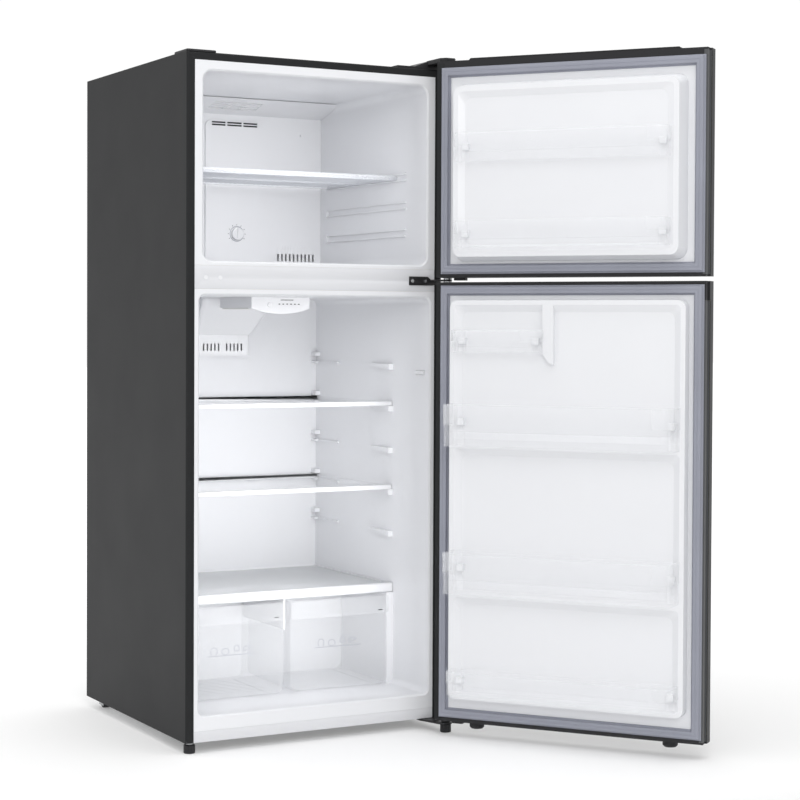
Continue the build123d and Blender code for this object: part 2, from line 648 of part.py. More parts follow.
def freezer_knob():
    """Disc with a finger bar, on a shaft with a keeper behind the panel."""
    x, z = KNOB
    knob = peg(x, z, EVAP_FACE - 15, EVAP_FACE - RAISED - 0.4, KNOB_R)
    knob = fillet(round_ends(knob).sort_by(Axis.Y)[:1], 2.0)
    knob += slab(x - 2.2, x + 2.2, EVAP_FACE - 18, EVAP_FACE - 14, z - 13, z + 14)
    knob += peg(x, z, EVAP_FACE - 6, EVAP_FACE + 5, KNOB_SHAFT)
    return knob + peg(x, z, EVAP_FACE + 3.6, EVAP_FACE + 6, KNOB_SHAFT + 3)


def evaporator():
    """Finned coil: two ranks of tubes joined by blocks and risers at their ends."""
    low_z = 1250.0
    rows = [low_z + row * TUBE_PITCH for row in range(TUBE_ROWS)]
    coil = []
    for count in range(FIN_COUNT):
        x = (count - (FIN_COUNT - 1) / 2) * FIN_PITCH
        coil.append(slab(x - 0.4, x + 0.4, 612, 642, low_z - 14, rows[-1] + 14))
    for z in rows:
        for y in (620, 634):
            coil.append(rod((-TUBE_END, y, z), (TUBE_END, y, z), TUBE_R))
        for side in SIDES:
            x = side * TUBE_END
            coil.append(slab(x - BEND_R, x + BEND_R, 613, 640, z - BEND_R, z + BEND_R))
    for row, z in enumerate(rows[:-1]):
        x = TUBE_END if row % 2 == 0 else -TUBE_END
        coil.append(post(x, 622, z, z + TUBE_PITCH, TUBE_R))
    for x in (-120, 120):
        coil.append(slab(x - 6, x + 6, 636, CAVITY_BACK - 0.2, rows[-1] + 7, rows[-1] + 42))
    return fuse(coil)


def fan_motor():
    """Motor can on three arms, with its shaft."""
    x, z = FAN
    back = CAVITY_BACK - GAP
    motor = peg(x, z, 628, back, 22)
    for angle in (90, 210, 330):
        arm_x = x + 64 * cos(radians(angle))
        arm_z = z + 64 * sin(radians(angle))
        motor += rod((x, 640, z), (arm_x, 640, arm_z), 3.5)
        motor += peg(arm_x, arm_z, 636, back, 7)
    return motor + peg(x, z, 606, 630, 2.0)


def evaporator_fan():
    x, z = FAN
    fan = peg(x, z, 608, 624, 15) - peg(x, z, 600, 630, 2.05)
    for turn in range(FAN_BLADES):
        blade = slab(x + 12, x + 52, 615, 617.2, z - 15, z + 15)
        blade = fillet(blade.edges().filter_by(Axis.Y), 8)
        blade = blade.rotate(Axis((x, 616, z), (1, 0, 0)), 24)
        fan += blade.rotate(Axis((x, 616, z), (0, 1, 0)), 360 / FAN_BLADES * turn)
    return fan


def freezer_shelf():
    """Rack of front-to-back slats between three cross bars and two side bars."""
    half = FREEZER_HALF - 1.2
    rack = slab(-half, half, 155, 165, SHELF_Z, SHELF_Z + 12)
    for y in (350, 537):
        rack += slab(-half, half, y, y + 10, SHELF_Z, SHELF_Z + 9)
    for side in SIDES:
        rack += slab(side * (half - 8), side * half, 155, 547, SHELF_Z, SHELF_Z + 9)
    for count in range(SLATS):
        x = (count - (SLATS - 1) / 2) * SLAT_PITCH
        rack += slab(x - 1.6, x + 1.6, 163, 540, SHELF_Z + 3, SHELF_Z + 8.5)
    return rack


# ---------------------------------------------------------------- fridge air duct, light and controls
def duct_form(trim):
    """Column on the back wall that widens and comes forward to the ceiling, drawn in by trim."""
    behind = CAVITY_BACK + 30
    corner = 14 - trim
    low_z, waist_z, top_z = DUCT_Z
    low_half, top_half = (half - trim for half in DUCT_HALF)
    low_front, top_front = (front + trim for front in DUCT_FRONT)
    column = panel_z(-low_half, low_half, low_front, behind, low_z + trim, waist_z + 1, corner)
    waist = RectangleRounded(2 * low_half, behind - low_front, corner)
    brow = RectangleRounded(2 * top_half, behind - top_front, corner)
    flare = loft([(Pos(0, (low_front + behind) / 2, waist_z) * waist).face(),
                  (Pos(0, (top_front + behind) / 2, top_z + trim / 2) * brow).face()])
    return column + flare


def air_duct():
    """Hollow duct, open at the back, with a row of outlet slots."""
    duct = duct_form(0) - duct_form(DUCT_WALL)
    duct -= slab(-200, 200, CAVITY_BACK - GAP, 700, 900, 1120)
    for count in range(5):
        for side in SIDES:
            x = side * (12 + count * 11)
            duct -= panel_y(x - 2.2, x + 2.2, 957, 977, 575, 590, 2.0)
    return duct


def control_housing():
    """Hollow box under the ceiling with a curved front lip, a button hole and sunk marks."""
    low, crown, ceiling = 1070.0, 1056.6, 1098.9
    lip = ThreePointArc((-HOUSING_HALF, low), (0, crown), (HOUSING_HALF, low))
    rest = Polyline((HOUSING_HALF, low), (HOUSING_HALF, ceiling), (-HOUSING_HALF, ceiling),
                    (-HOUSING_HALF, low))
    plane = Plane(origin=(0, HOUSING_FRONT + 21, 0), x_dir=(1, 0, 0), z_dir=(0, -1, 0))
    housing = extrude(plane * make_face(lip + rest), amount=21)
    housing += slab(-78, 78, 230, 420, 1072, ceiling)
    housing -= slab(-75, 75, 233, 417, crown, 1095.5)
    housing -= peg(*BUTTON, 210, 245, BUTTON_R + PIN_CLEARANCE)
    for count in range(6):
        x = -6 + count * 11
        housing -= slab(x, x + 5, 214, 216, 1080, 1083)
    return housing - slab(0, 36, 214, 217, 1091, 1093)


def control_button():
    button = peg(*BUTTON, 213.4, 238, BUTTON_R)
    button = fillet(round_ends(button).sort_by(Axis.Y)[:1], 1.2)
    return button + peg(*BUTTON, 236.6, 239, 9)


def lamp_lens():
    lens = slab(-74.6, 74.6, 245, 416.6, 1068, 1076)
    lens = fillet(lens.edges().filter_by(Axis.Y).sort_by(Axis.Z)[:2], 3.5)
    return lens - slab(-72.6, 72.6, 247, 414.6, 1070, 1080)


def light_switch():
    """Rocker that stands out of the right wall, with a flange behind it."""
    switch = slab(FRIDGE_HALF + 3.2, FRIDGE_HALF - 5.0, 26, 66, SWITCH_Z - 5.2, SWITCH_Z + 5.2)
    switch = fillet(switch.faces().sort_by(Axis.X)[0].edges(), 2.0)
    return switch + slab(FRIDGE_HALF + LINER + 0.6, FRIDGE_HALF + 6, 23.6, 68.4,
                         SWITCH_Z - 6.9, SWITCH_Z + 6.9)


# ---------------------------------------------------------------- glass shelves
def shelf_trim(level):
    """Front and rear edge strips, each with a groove for the glass."""
    width = FRIDGE_HALF - 2.2
    low, top = level + 0.1, level + SHELF_THICK
    groove = (level + 6.8, level + 11.2)
    front = slab(-width, width, SHELF_Y[0], 213, low, top)
    front = fillet(front.edges().filter_by(Axis.X).sort_by(Axis.Y)[:2], 3)
    front -= slab(-width + 3, width - 3, 205, 220, *groove)
    rear = slab(-width, width, 628, SHELF_Y[1], low, top)
    rear -= slab(-width + 3, width - 3, 620, 636, *groove)
    return Compound([front, rear])


def shelf_glass(level):
    width = FRIDGE_HALF - 5.6
    return slab(-width, width, 205.2, 635.8, level + 7.0, level + 7.0 + GLASS)


# ---------------------------------------------------------------- crisper cover and crispers
COVER_HALF = FRIDGE_HALF - 2.2
COVER_DEPTH = (LEDGE_FRONT, 643.5)


def crisper_cover_frame():
    """Frame on the liner's ledges, with two openings and a divider between the crispers."""
    front_low, low, top = CRISPER_LEDGE + 0.6, STEP_TOP + 0.6, COVER_TOP_Z
    border = 12.0
    middle = 7.0
    frame = slab(-COVER_HALF, COVER_HALF, COVER_DEPTH[0], 206, front_low, top)
    frame = fillet(frame.edges().filter_by(Axis.X).sort_by(Axis.Y)[:2], 4)
    frame += slab(-COVER_HALF, COVER_HALF, 630, COVER_DEPTH[1], low, top)
    for side in SIDES:
        frame += slab(side * COVER_HALF, side * (COVER_HALF - border), 200, 640, low, top)
    frame += slab(-middle, middle, 200, 640, low, 342)
    frame += slab(-2, 2, 188, STEP_FRONT - 4, 250, STEP_TOP + 2)
    frame -= slab(-COVER_HALF + 4, COVER_HALF - 4, 198, 638, 343, top + 1)
    for side in SIDES:
        frame -= slab(side * middle, side * (COVER_HALF - border), 206, 630, 320, top + 1)
    return frame


def crisper_cover_glass():
    half = COVER_HALF - 4.3
    return slab(-half, half, 198.3, 637.7, 343.2, 343.2 + GLASS)


def crisper():
    """Right-hand drawer: open tray with a stepped handle band and slanted floor ribs."""
    x0, x1 = CRISPER_X
    y0, y1 = CRISPER_Y
    z0, z1 = CRISPER_Z
    wall = CRISPER_WALL
    over = 40.0
    tray = panel_y(x0, x1, z0, z1 + over, y0, y1, 20)
    tray -= panel_y(x0 + wall, x1 - wall, z0 + wall, z1 + over, y0 + wall, y1 - wall, 18)
    band = panel_y(x0, x1, z1 - CRISPER_BAND, z1 + over, y0 - 9, y0 + 3, 8)
    band -= panel_y(x0 + wall, x1 - wall, z1 - 60, z1 - wall, y0 - 9 + wall, y0 + 0.4, 6)
    tray += band
    tray -= slab(x0 - PAST, x1 + PAST, y0 - 20, y1 + PAST, z1, z1 + over + 20)
    middle = Pos((x0 + x1) / 2, (y0 + y1) / 2, z0 + 2.9)
    for count in range(6):
        tray += middle * Pos(-90 + count * 36, 0, 0) * Rot(0, 0, -24) * Box(3, 200, 1.4)
    for x in (x0 + 30, x1 - 33):
        tray += slab(x, x + 3, y0 + 12, y1 - 10, FRIDGE_Z[0] + GAP, z0 + 0.5)
    return tray


# ---------------------------------------------------------------- doors, drawn closed
def swing(shape):
    """Turn a closed-position door piece to the open rest position."""
    return shape.rotate(Axis((HINGE_X, HINGE_Y, 0), (0, 0, 1)), DOOR_OPEN)


def door_outline(inset, z0, z1):
    """Whole plan outline of a door, front corners rounded, grip recess in the free edge."""
    main = slab(DOOR_FREE + inset, DOOR_HINGED - inset, DOOR_FRONT + inset, DOOR_BACK - inset, z0, z1)
    corners = main.edges().filter_by(Axis.Z).sort_by(Axis.Y)[:2]
    main = fillet(corners, DOOR_ROUND - inset)
    return main - slab(DOOR_FREE - PAST, DOOR_GRIP + inset, GRIP_STEP - inset, DOOR_BACK + PAST,
                       z0 - 1, z1 + 1)


def door_skin(z0, z1):
    """Folded steel front, open at the back for the liner and at the grip for its strip."""
    skin = door_outline(0, z0 + CAP, z1 - CAP)
    skin -= door_outline(DOOR_SHEET, z0, z1)
    skin -= slab(DOOR_FREE - PAST, DOOR_GRIP + 4, GRIP_STEP - DOOR_SHEET, DOOR_BACK + PAST, z0, z1)
    return skin - slab(DOOR_FREE - PAST, SKIN_END, DOOR_BACK - 3, DOOR_BACK + 3, z0, z1)


def door_trim(z0, z1):
    """Grip strip along the free edge."""
    thick = 2.0
    strip = slab(DOOR_FREE + 1.2, DOOR_GRIP + thick, GRIP_STEP - DOOR_SHEET + 0.1, GRIP_STEP + 1.2, z0, z1)
    strip += slab(DOOR_GRIP, DOOR_GRIP + thick, GRIP_STEP - 0.6, DOOR_BACK, z0, z1)
    return strip + slab(DOOR_GRIP, STRIP_END, DOOR_BACK - BACK_RETURN, DOOR_BACK, z0, z1)


def door_cap(edge, inward, sheet_end):
    """End cap from the door's end at height edge, reaching inward (+1 up, -1 down).

    A lip follows the skin's inside, a flange closes the door's back as far as the liner
    sheet's end and a sleeve round the hinge line takes the pin.
    """
    plate_end = edge + inward * CAP
    lip_end = plate_end + inward * CAP_LIP
    plate = door_outline(0, min(edge, plate_end), max(edge, plate_end))
    low, high = min(plate_end, lip_end), max(plate_end, lip_end)
    lip = door_outline(DOOR_SHEET + 1.6, low, high)
    lip -= door_outline(DOOR_SHEET + 3.6, low - 1, high + 1)
    lip -= slab(-400, 400, DOOR_BACK - 6, DOOR_BACK + PAST, low - 1, high + 1)
    lip -= slab(-400, DOOR_GRIP + 8, GRIP_STEP - 6, DOOR_BACK + PAST, low - 1, high + 1)
    lip -= slab(HINGE_X - 12, 400, -100, 0, low - 1, high + 1)
    flange_z = sorted((plate_end - inward * 0.5, sheet_end - inward * SEAT))
    flange = slab(STRIP_END + SEAT, SKIN_END - SEAT, DOOR_BACK - BACK_RETURN, DOOR_BACK, *flange_z)
    sleeve = post(HINGE_X, HINGE_Y, plate_end - inward * 0.5, plate_end + inward * SLEEVE, 8.4)
    bore = post(HINGE_X, HINGE_Y, edge - inward * PAST, plate_end + inward * (SLEEVE - 2),
                PIN_R + PIN_CLEARANCE)
    return plate + lip + flange + sleeve - bore


def door_stop(z_bottom):
    """Block moulded under the lower end cap, beside the hinge."""
    block = slab(279, 309, -52, -27, z_bottom - 6.6, z_bottom + 0.5)
    return fillet(block.edges().filter_by(Axis.Z), 5)


def gasket(z_range):
    """Magnetic door seal: wide foot ring carrying a narrower bulb ring."""
    outer = (*GASKET_X, *z_range)
    seal = panel_y(*outer, DOOR_BACK + 0.1, DOOR_BACK + 4.5, 5)
    seal += panel_y(*inset_box(outer, 3.2), DOOR_BACK + 4.0, -0.8, 4)
    seal -= panel_y(*inset_box(outer, GASKET_W - 3.2), DOOR_BACK + 4.5, PAST, 3)
    seal -= panel_y(*inset_box(outer, GASKET_W), DOOR_BACK - 1, PAST, 3)
    hollow = panel_y(*inset_box(outer, 5.2), DOOR_BACK + 6.0, -2.6, 3)
    hollow -= panel_y(*inset_box(outer, GASKET_W - 5.2), DOOR_BACK + 5.0, -1, 3)
    return seal - hollow


def door_foam(z0, z1, form):
    """Insulation that fills a door and the plateau of its liner, clear of the hinge sleeves."""
    low, high = z0 + CAP + 12, z1 - CAP - 12
    corner = (HINGE_X - 13, 400, -100, HINGE_Y + 13)
    fill = door_outline(DOOR_SHEET + 4.2, low, high)
    fill += slab(-330, 322, DOOR_BACK - 7, DOOR_BACK - 1.5, low, high)
    fill -= slab(*corner, z0, z0 + 34)
    fill -= slab(*corner, z1 - 34, z1)
    return fill + form


def freezer_form(drop):
    """Solid under the freezer door liner's surface, lowered by drop."""
    low = inset_box(FREEZER_BASE, drop)
    crest = inset_box(FREEZER_BASE, FREEZER_FLANK)
    field = inset_box(crest, FREEZER_RIM)
    form = mound_y(low, inset_box(crest, drop), DOOR_BACK - 3.0, FREEZER_CREST_Y - drop, 26)
    return form - mound_y(inset_box(field, 16 - drop * 0.6), inset_box(field, -drop * 0.6),
                          FREEZER_CREST_Y - 7 - drop, FREEZER_CREST_Y + 0.01 - drop, 18)


def fridge_form(drop):
    """Low plateau with three sunk fields and a short rib beside the dairy bin, lowered by drop."""
    low = inset_box(FRIDGE_BASE, drop)
    form = mound_y(low, inset_box(low, 2.0), DOOR_BACK - 3.0, FRIDGE_CREST_Y - drop, 20)
    for bottom, top in FIELDS:
        field = (*FIELD_X, bottom, top)
        form -= mound_y(inset_box(field, 17 - drop * 0.6), inset_box(field, -drop * 0.6),
                        FRIDGE_CREST_Y - 12 - drop, FRIDGE_CREST_Y + 0.01 - drop, 18)
    rib = [(30 + drop * 0.6, 1090), (30 + drop * 0.6, 934 + drop), (44, 940 + drop),
           (58 - drop * 0.6, 962 + drop), (58 - drop * 0.6, 1090)]
    return form + front_profile(rib, FRIDGE_CREST_Y - 16, FRIDGE_CREST_Y - drop)


def lugs(spec):
    """Hooks on the door liner that carry a bin."""
    x0, x1 = spec["x"]
    hook_z = spec["z"][0] + spec["hook"]
    return [slab(x, x + 16, spec["root"], spec["y"][0] + 6, hook_z - 16, hook_z)
            for x in (x0 + 12, x1 - 28)]


def door_liner(form, bins, z0, z1):
    """Formed sheet that follows the plateau, with the hooks of its bins."""
    sheet = slab(*SHEET_X, DOOR_BACK - DOOR_LINER, DOOR_BACK, z0, z1)
    sheet = sheet - form(0) + (form(0) - form(DOOR_LINER + 0.1))
    sheet -= slab(-400, 400, DOOR_BACK - PAST, DOOR_BACK - DOOR_LINER, z0 - 60, z1 + 60)
    for spec in bins.values():
        for lug in lugs(spec):
            sheet += lug - form(0.6)
    return sheet


def foam_form(form, z0, z1):
    """Part of a plateau's solid that insulation fills."""
    return form(DOOR_LINER + 0.6) - slab(-400, 400, -40, DOOR_BACK - 2.9, z0 - 60, z1 + 60)


def tub(x0, x1, y0, y1, z0, z1, corner):
    """Block with the two front upright edges rounded (the front of a bin faces +Y)."""
    block = slab(x0, x1, y0, y1, z0, z1)
    upright = block.edges().filter_by(Axis.Z).sort_by(Axis.Y)[-2:]
    return fillet(upright, corner)


def door_bin(spec):
    """Open tray, a little smaller below half height, notched at the back for its hooks."""
    x0, x1 = spec["x"]
    y0, y1 = spec["y"]
    z0, z1 = spec["z"]
    step, wall = BIN_STEP, BIN_WALL
    middle_z = (z0 + z1) / 2
    tray = tub(x0, x1, y0, y1, middle_z, z1, BIN_ROUND)
    tray += tub(x0 + step, x1 - step, y0, y1 - step, z0, middle_z, BIN_ROUND - step)
    tray -= tub(x0 + wall, x1 - wall, y0 + wall, y1 - wall, middle_z, z1 + PAST, BIN_ROUND - wall)
    tray -= tub(x0 + step + wall, x1 - step - wall, y0 + wall, y1 - step - wall,
                z0 + wall, middle_z + 0.1, BIN_ROUND - step - wall)
    for x in (x0 + 12, x1 - 28):
        tray -= slab(x - 1, x + 17, y0 - 1, y0 + 7, z0 - 1, z0 + spec["hook"] + GAP)
    for count in range(spec["slots"]):
        span = (x1 - x0 - 80) / spec["slots"]
        start = x0 + 40 + count * span
        tray -= panel_z(start + 8, start + span - 8, y1 - 16, y1 - 11, z0 - 1, z0 + 3, 2.2)
    return tray


def freezer_door():
    z0, z1 = FREEZER_DOOR_Z
    ridge = [(-275, z1 - 0.5), (-268, z1 + RIDGE), (266, z1 + RIDGE), (273, z1 - 0.5)]
    top_cap = door_cap(z1, -1, FREEZER_SHEET_Z[1]) + front_profile(ridge, -62, -28)
    low_cap = door_cap(z0, 1, FREEZER_SHEET_Z[0]) + door_stop(z0)
    return {
        "freezer_door_skin": door_skin(z0, z1),
        "freezer_door_caps": Compound([top_cap, low_cap]),
        "freezer_door_trim": door_trim(z0 + CAP + 0.1, z1 - CAP - 0.1),
        "freezer_door_foam": door_foam(z0, z1, foam_form(freezer_form, z0, z1)),
        "freezer_door_liner": door_liner(freezer_form, FREEZER_BINS, *FREEZER_SHEET_Z),
        "freezer_door_gasket": gasket(FREEZER_GASKET_Z),
        **{name: door_bin(spec) for name, spec in FREEZER_BINS.items()},
    }


def fridge_door():
    z0, z1 = FRIDGE_DOOR_Z
    leg_z = z1 - LEG
    skin = door_skin(z0, z1)
    skin -= slab(DOOR_FREE - PAST, DOOR_FREE + 3.5, -61.3, DOOR_BACK + PAST, leg_z - GAP, z1)
    top_cap = door_cap(z1, -1, FRIDGE_SHEET_Z[1])
    top_cap += slab(DOOR_FREE, DOOR_FREE + 3.2, -61, GRIP_STEP + 0.2, leg_z, z1 - 1)
    top_cap += slab(DOOR_FREE, DOOR_GRIP + 3, GRIP_STEP, GRIP_STEP + 2.5, leg_z, z1 - 1)
    top_cap += slab(DOOR_GRIP, DOOR_GRIP + 3, GRIP_STEP, DOOR_BACK, leg_z, z1 - 1)
    top_cap += slab(DOOR_GRIP, STRIP_END + 0.5, DOOR_BACK - BACK_RETURN, DOOR_BACK, leg_z, z1 - 1)
    low_cap = door_cap(z0, 1, FRIDGE_SHEET_Z[0]) + door_stop(z0)
    for x in BOSS_X:
        boss = post(x, -45, z0 - 16.5, z0 + 0.5, 18.5)
        low_cap += chamfer(round_ends(boss).sort_by(Axis.Z)[:1], 4)
    return {
        "fridge_door_skin": skin,
        "fridge_door_caps": Compound([top_cap, low_cap]),
        "fridge_door_trim": door_trim(z0 + CAP + 0.1, leg_z - SEAT),
        "fridge_door_foam": door_foam(z0, z1, foam_form(fridge_form, z0, z1)),
        "fridge_door_liner": door_liner(fridge_form, FRIDGE_BINS, *FRIDGE_SHEET_Z),
        "fridge_door_gasket": gasket(FRIDGE_GASKET_Z),
        **{name: door_bin(spec) for name, spec in FRIDGE_BINS.items()},
    }


# ---------------------------------------------------------------- assembly and export
parts = {
    "cabinet_shell": cabinet_shell(),
    "cabinet_back": cabinet_back(),
    "freezer_liner": freezer_liner(),
    "fridge_liner": fridge_liner(),
    "cabinet_foam": cabinet_foam(),
    "mullion_cover": mullion_cover(),
    "mullion_plugs": Compound([mullion_plug(-x) for x in MID_SCREW_X]),
    "front_rail": front_rail(),
    "base_frame": base_frame(),
    "foot_left": levelling_foot(*LEFT_FOOT, 44),
    "foot_right": levelling_foot(HINGE_X, HINGE_Y, 27.4),
    "rear_roller_left": rear_roller(-1),
    "rear_roller_right": rear_roller(1),
    "corner_cap": corner_cap(),
    "top_hinge": top_hinge(),
    "top_hinge_cover": top_hinge_cover(),
    "middle_hinge": middle_hinge(),
    "bottom_hinge": bottom_hinge(),
    "hinge_screws": hinge_screws(),
    "compressor": compressor(),
    "compressor_mounts": Compound([compressor_mount(*spot) for spot in MOUNT_SPOTS]),
    "rear_cover": rear_cover(),
    "power_inlet": power_inlet(),
    "evaporator_cover": evaporator_cover(),
    "freezer_knob": freezer_knob(),
    "evaporator": evaporator(),
    "fan_motor": fan_motor(),
    "evaporator_fan": evaporator_fan(),
    "freezer_shelf": freezer_shelf(),
    "air_duct": air_duct(),
    "control_housing": control_housing(),
    "control_button": control_button(),
    "lamp_lens": lamp_lens(),
    "light_switch": light_switch(),
    "crisper_cover_frame": crisper_cover_frame(),
    "crisper_cover_glass": crisper_cover_glass(),
    "crisper_right": crisper(),
    "crisper_left": mirror_x(crisper()),
}
for word, level in USED_LEVELS.items():
    parts[f"{word}_shelf_trim"] = shelf_trim(level)
    parts[f"{word}_shelf_glass"] = shelf_glass(level)
for name, shape in {**freezer_door(), **fridge_door()}.items():
    parts[name] = swing(shape)

whole = Compound(list(parts.values())).bounding_box()
shift = Pos(-round((whole.min.X + whole.max.X) / 2, 1), -round((whole.min.Y + whole.max.Y) / 2, 1), 0)
print("cabinet middle of front face lies at", shift.position, "pieces", len(parts))

os.makedirs("parts", exist_ok=True)
for name, shape in parts.items():
    export_step(shift * shape, f"parts/{name}.step")
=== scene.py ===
"""Looks for the top freezer refrigerator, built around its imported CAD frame.  Metres, +Z up."""
import json
import math

import bmesh
import bpy
from mathutils import Matrix, Vector


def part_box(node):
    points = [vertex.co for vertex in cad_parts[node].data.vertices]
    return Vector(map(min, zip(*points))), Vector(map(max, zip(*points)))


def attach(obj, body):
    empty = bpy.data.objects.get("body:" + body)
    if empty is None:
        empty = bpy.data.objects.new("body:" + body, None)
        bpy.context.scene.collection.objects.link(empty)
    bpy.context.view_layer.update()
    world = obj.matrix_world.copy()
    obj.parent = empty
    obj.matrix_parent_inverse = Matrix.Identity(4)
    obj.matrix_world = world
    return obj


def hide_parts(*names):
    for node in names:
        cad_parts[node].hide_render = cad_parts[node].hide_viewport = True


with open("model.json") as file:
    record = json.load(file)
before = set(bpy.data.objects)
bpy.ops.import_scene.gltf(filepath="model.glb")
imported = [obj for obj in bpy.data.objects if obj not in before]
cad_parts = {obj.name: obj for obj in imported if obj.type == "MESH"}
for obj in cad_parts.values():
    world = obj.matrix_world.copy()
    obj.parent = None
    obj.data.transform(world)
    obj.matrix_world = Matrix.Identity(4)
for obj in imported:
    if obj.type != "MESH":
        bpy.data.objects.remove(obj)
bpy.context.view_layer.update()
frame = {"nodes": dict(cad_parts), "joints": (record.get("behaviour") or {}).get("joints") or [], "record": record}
NODES = frame["nodes"]
NODE_BODY = {n: b for b, members in frame["record"]["behaviour"]["bodies"].items() for n in members}
NODE_SLOT = {s["node"]: s["material_slot"] for s in frame["record"]["subparts"]}

case_low, case_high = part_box("cabinet_shell")
CABINET_X = (case_low.x + case_high.x) / 2
FRONT_Y = case_low.y

# ------------------------------------------------------------------ camera
CAMERA_FROM_FRONT = Vector((-2.142, -4.2742, 1.0269))   # from the middle of the cabinet's front, at the floor
CAMERA_YAW = 0.50711
CAMERA_PITCH = 0.02253
CAMERA_ROLL = 0.00451
SENSOR = 36.0
LENS = 87.27
SHIFT = (-0.0009, -0.0379)


def make_camera():
    sy, cy = math.sin(CAMERA_YAW), math.cos(CAMERA_YAW)
    sp, cp = math.sin(CAMERA_PITCH), math.cos(CAMERA_PITCH)
    ahead = Vector((sy * cp, cy * cp, -sp))
    right = Vector((cy, -sy, 0))
    up = right.cross(ahead)
    sr, cr = math.sin(CAMERA_ROLL), math.cos(CAMERA_ROLL)
    right, up = cr * right + sr * up, cr * up - sr * right
    data = bpy.data.cameras.new("camera")
    data.sensor_width, data.lens = SENSOR, LENS
    data.shift_x, data.shift_y = SHIFT
    data.clip_end = 100
    camera = bpy.data.objects.new("camera", data)
    bpy.context.scene.collection.objects.link(camera)
    place = Vector((CABINET_X, FRONT_Y, 0)) + CAMERA_FROM_FRONT
    turn = Matrix((right, up, -ahead)).transposed().to_4x4()
    camera.matrix_world = Matrix.Translation(place) @ turn
    bpy.context.scene.camera = camera


make_camera()


# ------------------------------------------------------------------ materials
def new_material(name, colour, roughness, metallic=0.0, **sockets):
    material = bpy.data.materials.new(name)
    material.use_nodes = True
    shader = material.node_tree.nodes["Principled BSDF"]
    shader.inputs["Base Color"].default_value = (*colour, 1)
    shader.inputs["Roughness"].default_value = roughness
    shader.inputs["Metallic"].default_value = metallic
    for key, value in sockets.items():
        shader.inputs[key.replace("_", " ")].default_value = value
    return material, material.node_tree, shader


def noise(tree, scale, detail=3.0, stretch=(1, 1, 1)):
    """Noise in the object's own metres, optionally stretched along an axis."""
    coord = tree.nodes.new("ShaderNodeTexCoord")
    mapping = tree.nodes.new("ShaderNodeMapping")
    mapping.inputs["Scale"].default_value = stretch
    texture = tree.nodes.new("ShaderNodeTexNoise")
    texture.inputs["Scale"].default_value = scale
    texture.inputs["Detail"].default_value = detail
    tree.links.new(coord.outputs["Object"], mapping.inputs["Vector"])
    tree.links.new(mapping.outputs["Vector"], texture.inputs["Vector"])
    return texture.outputs["Fac"]


def vary(tree, factor, low, high, target):
    span = tree.nodes.new("ShaderNodeMapRange")
    span.inputs["To Min"].default_value = low
    span.inputs["To Max"].default_value = high
    tree.links.new(factor, span.inputs["Value"])
    tree.links.new(span.outputs["Result"], target)


def tint(tree, factor, dark, light, target):
    ramp = tree.nodes.new("ShaderNodeValToRGB")
    ramp.color_ramp.elements[0].position = 0.3
    ramp.color_ramp.elements[1].position = 0.7
    ramp.color_ramp.elements[0].color = (*dark, 1)
    ramp.color_ramp.elements[1].color = (*light, 1)
    tree.links.new(factor, ramp.inputs["Fac"])
    tree.links.new(ramp.outputs["Color"], target)


def bump(tree, factor, shader, strength, distance):
    node = tree.nodes.new("ShaderNodeBump")
    node.inputs["Strength"].default_value = strength
    node.inputs["Distance"].default_value = distance
    tree.links.new(factor, node.inputs["Height"])
    tree.links.new(node.outputs["Normal"], shader.inputs["Normal"])


def finish_material(name, colour, roughness, spread=0.06, grain=900, grain_depth=0.00004,
                    strength=0.25, colour_spread=0.04, stretch=(1, 1, 1), **kw):
    """A coloured surface with uneven gloss, a slight colour drift and a fine surface grain."""
    material, tree, shader = new_material(name, colour, roughness, **kw)
    broad = noise(tree, 6.0)
    vary(tree, broad, max(roughness - spread, 0.02), roughness + spread, shader.inputs["Roughness"])
    darker = tuple(c * (1 - colour_spread) for c in colour)
    lighter = tuple(min(c * (1 + colour_spread), 1) for c in colour)
    tint(tree, broad, darker, lighter, shader.inputs["Base Color"])
    bump(tree, noise(tree, grain, 2.0, stretch), shader, strength, grain_depth)
    return material


def clear_material(name, colour, roughness, facing, grazing, strength=0.12):
    """Clear sheet: hardly there seen square on, whiter and glossier towards its edges."""
    material = finish_material(name, colour, roughness, spread=0.02, grain=60, grain_depth=0.0003,
                               strength=strength, colour_spread=0.01)
    tree = material.node_tree
    edge = tree.nodes.new("ShaderNodeLayerWeight")
    edge.inputs["Blend"].default_value = 0.35
    vary(tree, edge.outputs["Facing"], facing, grazing, tree.nodes["Principled BSDF"].inputs["Alpha"])
    return material


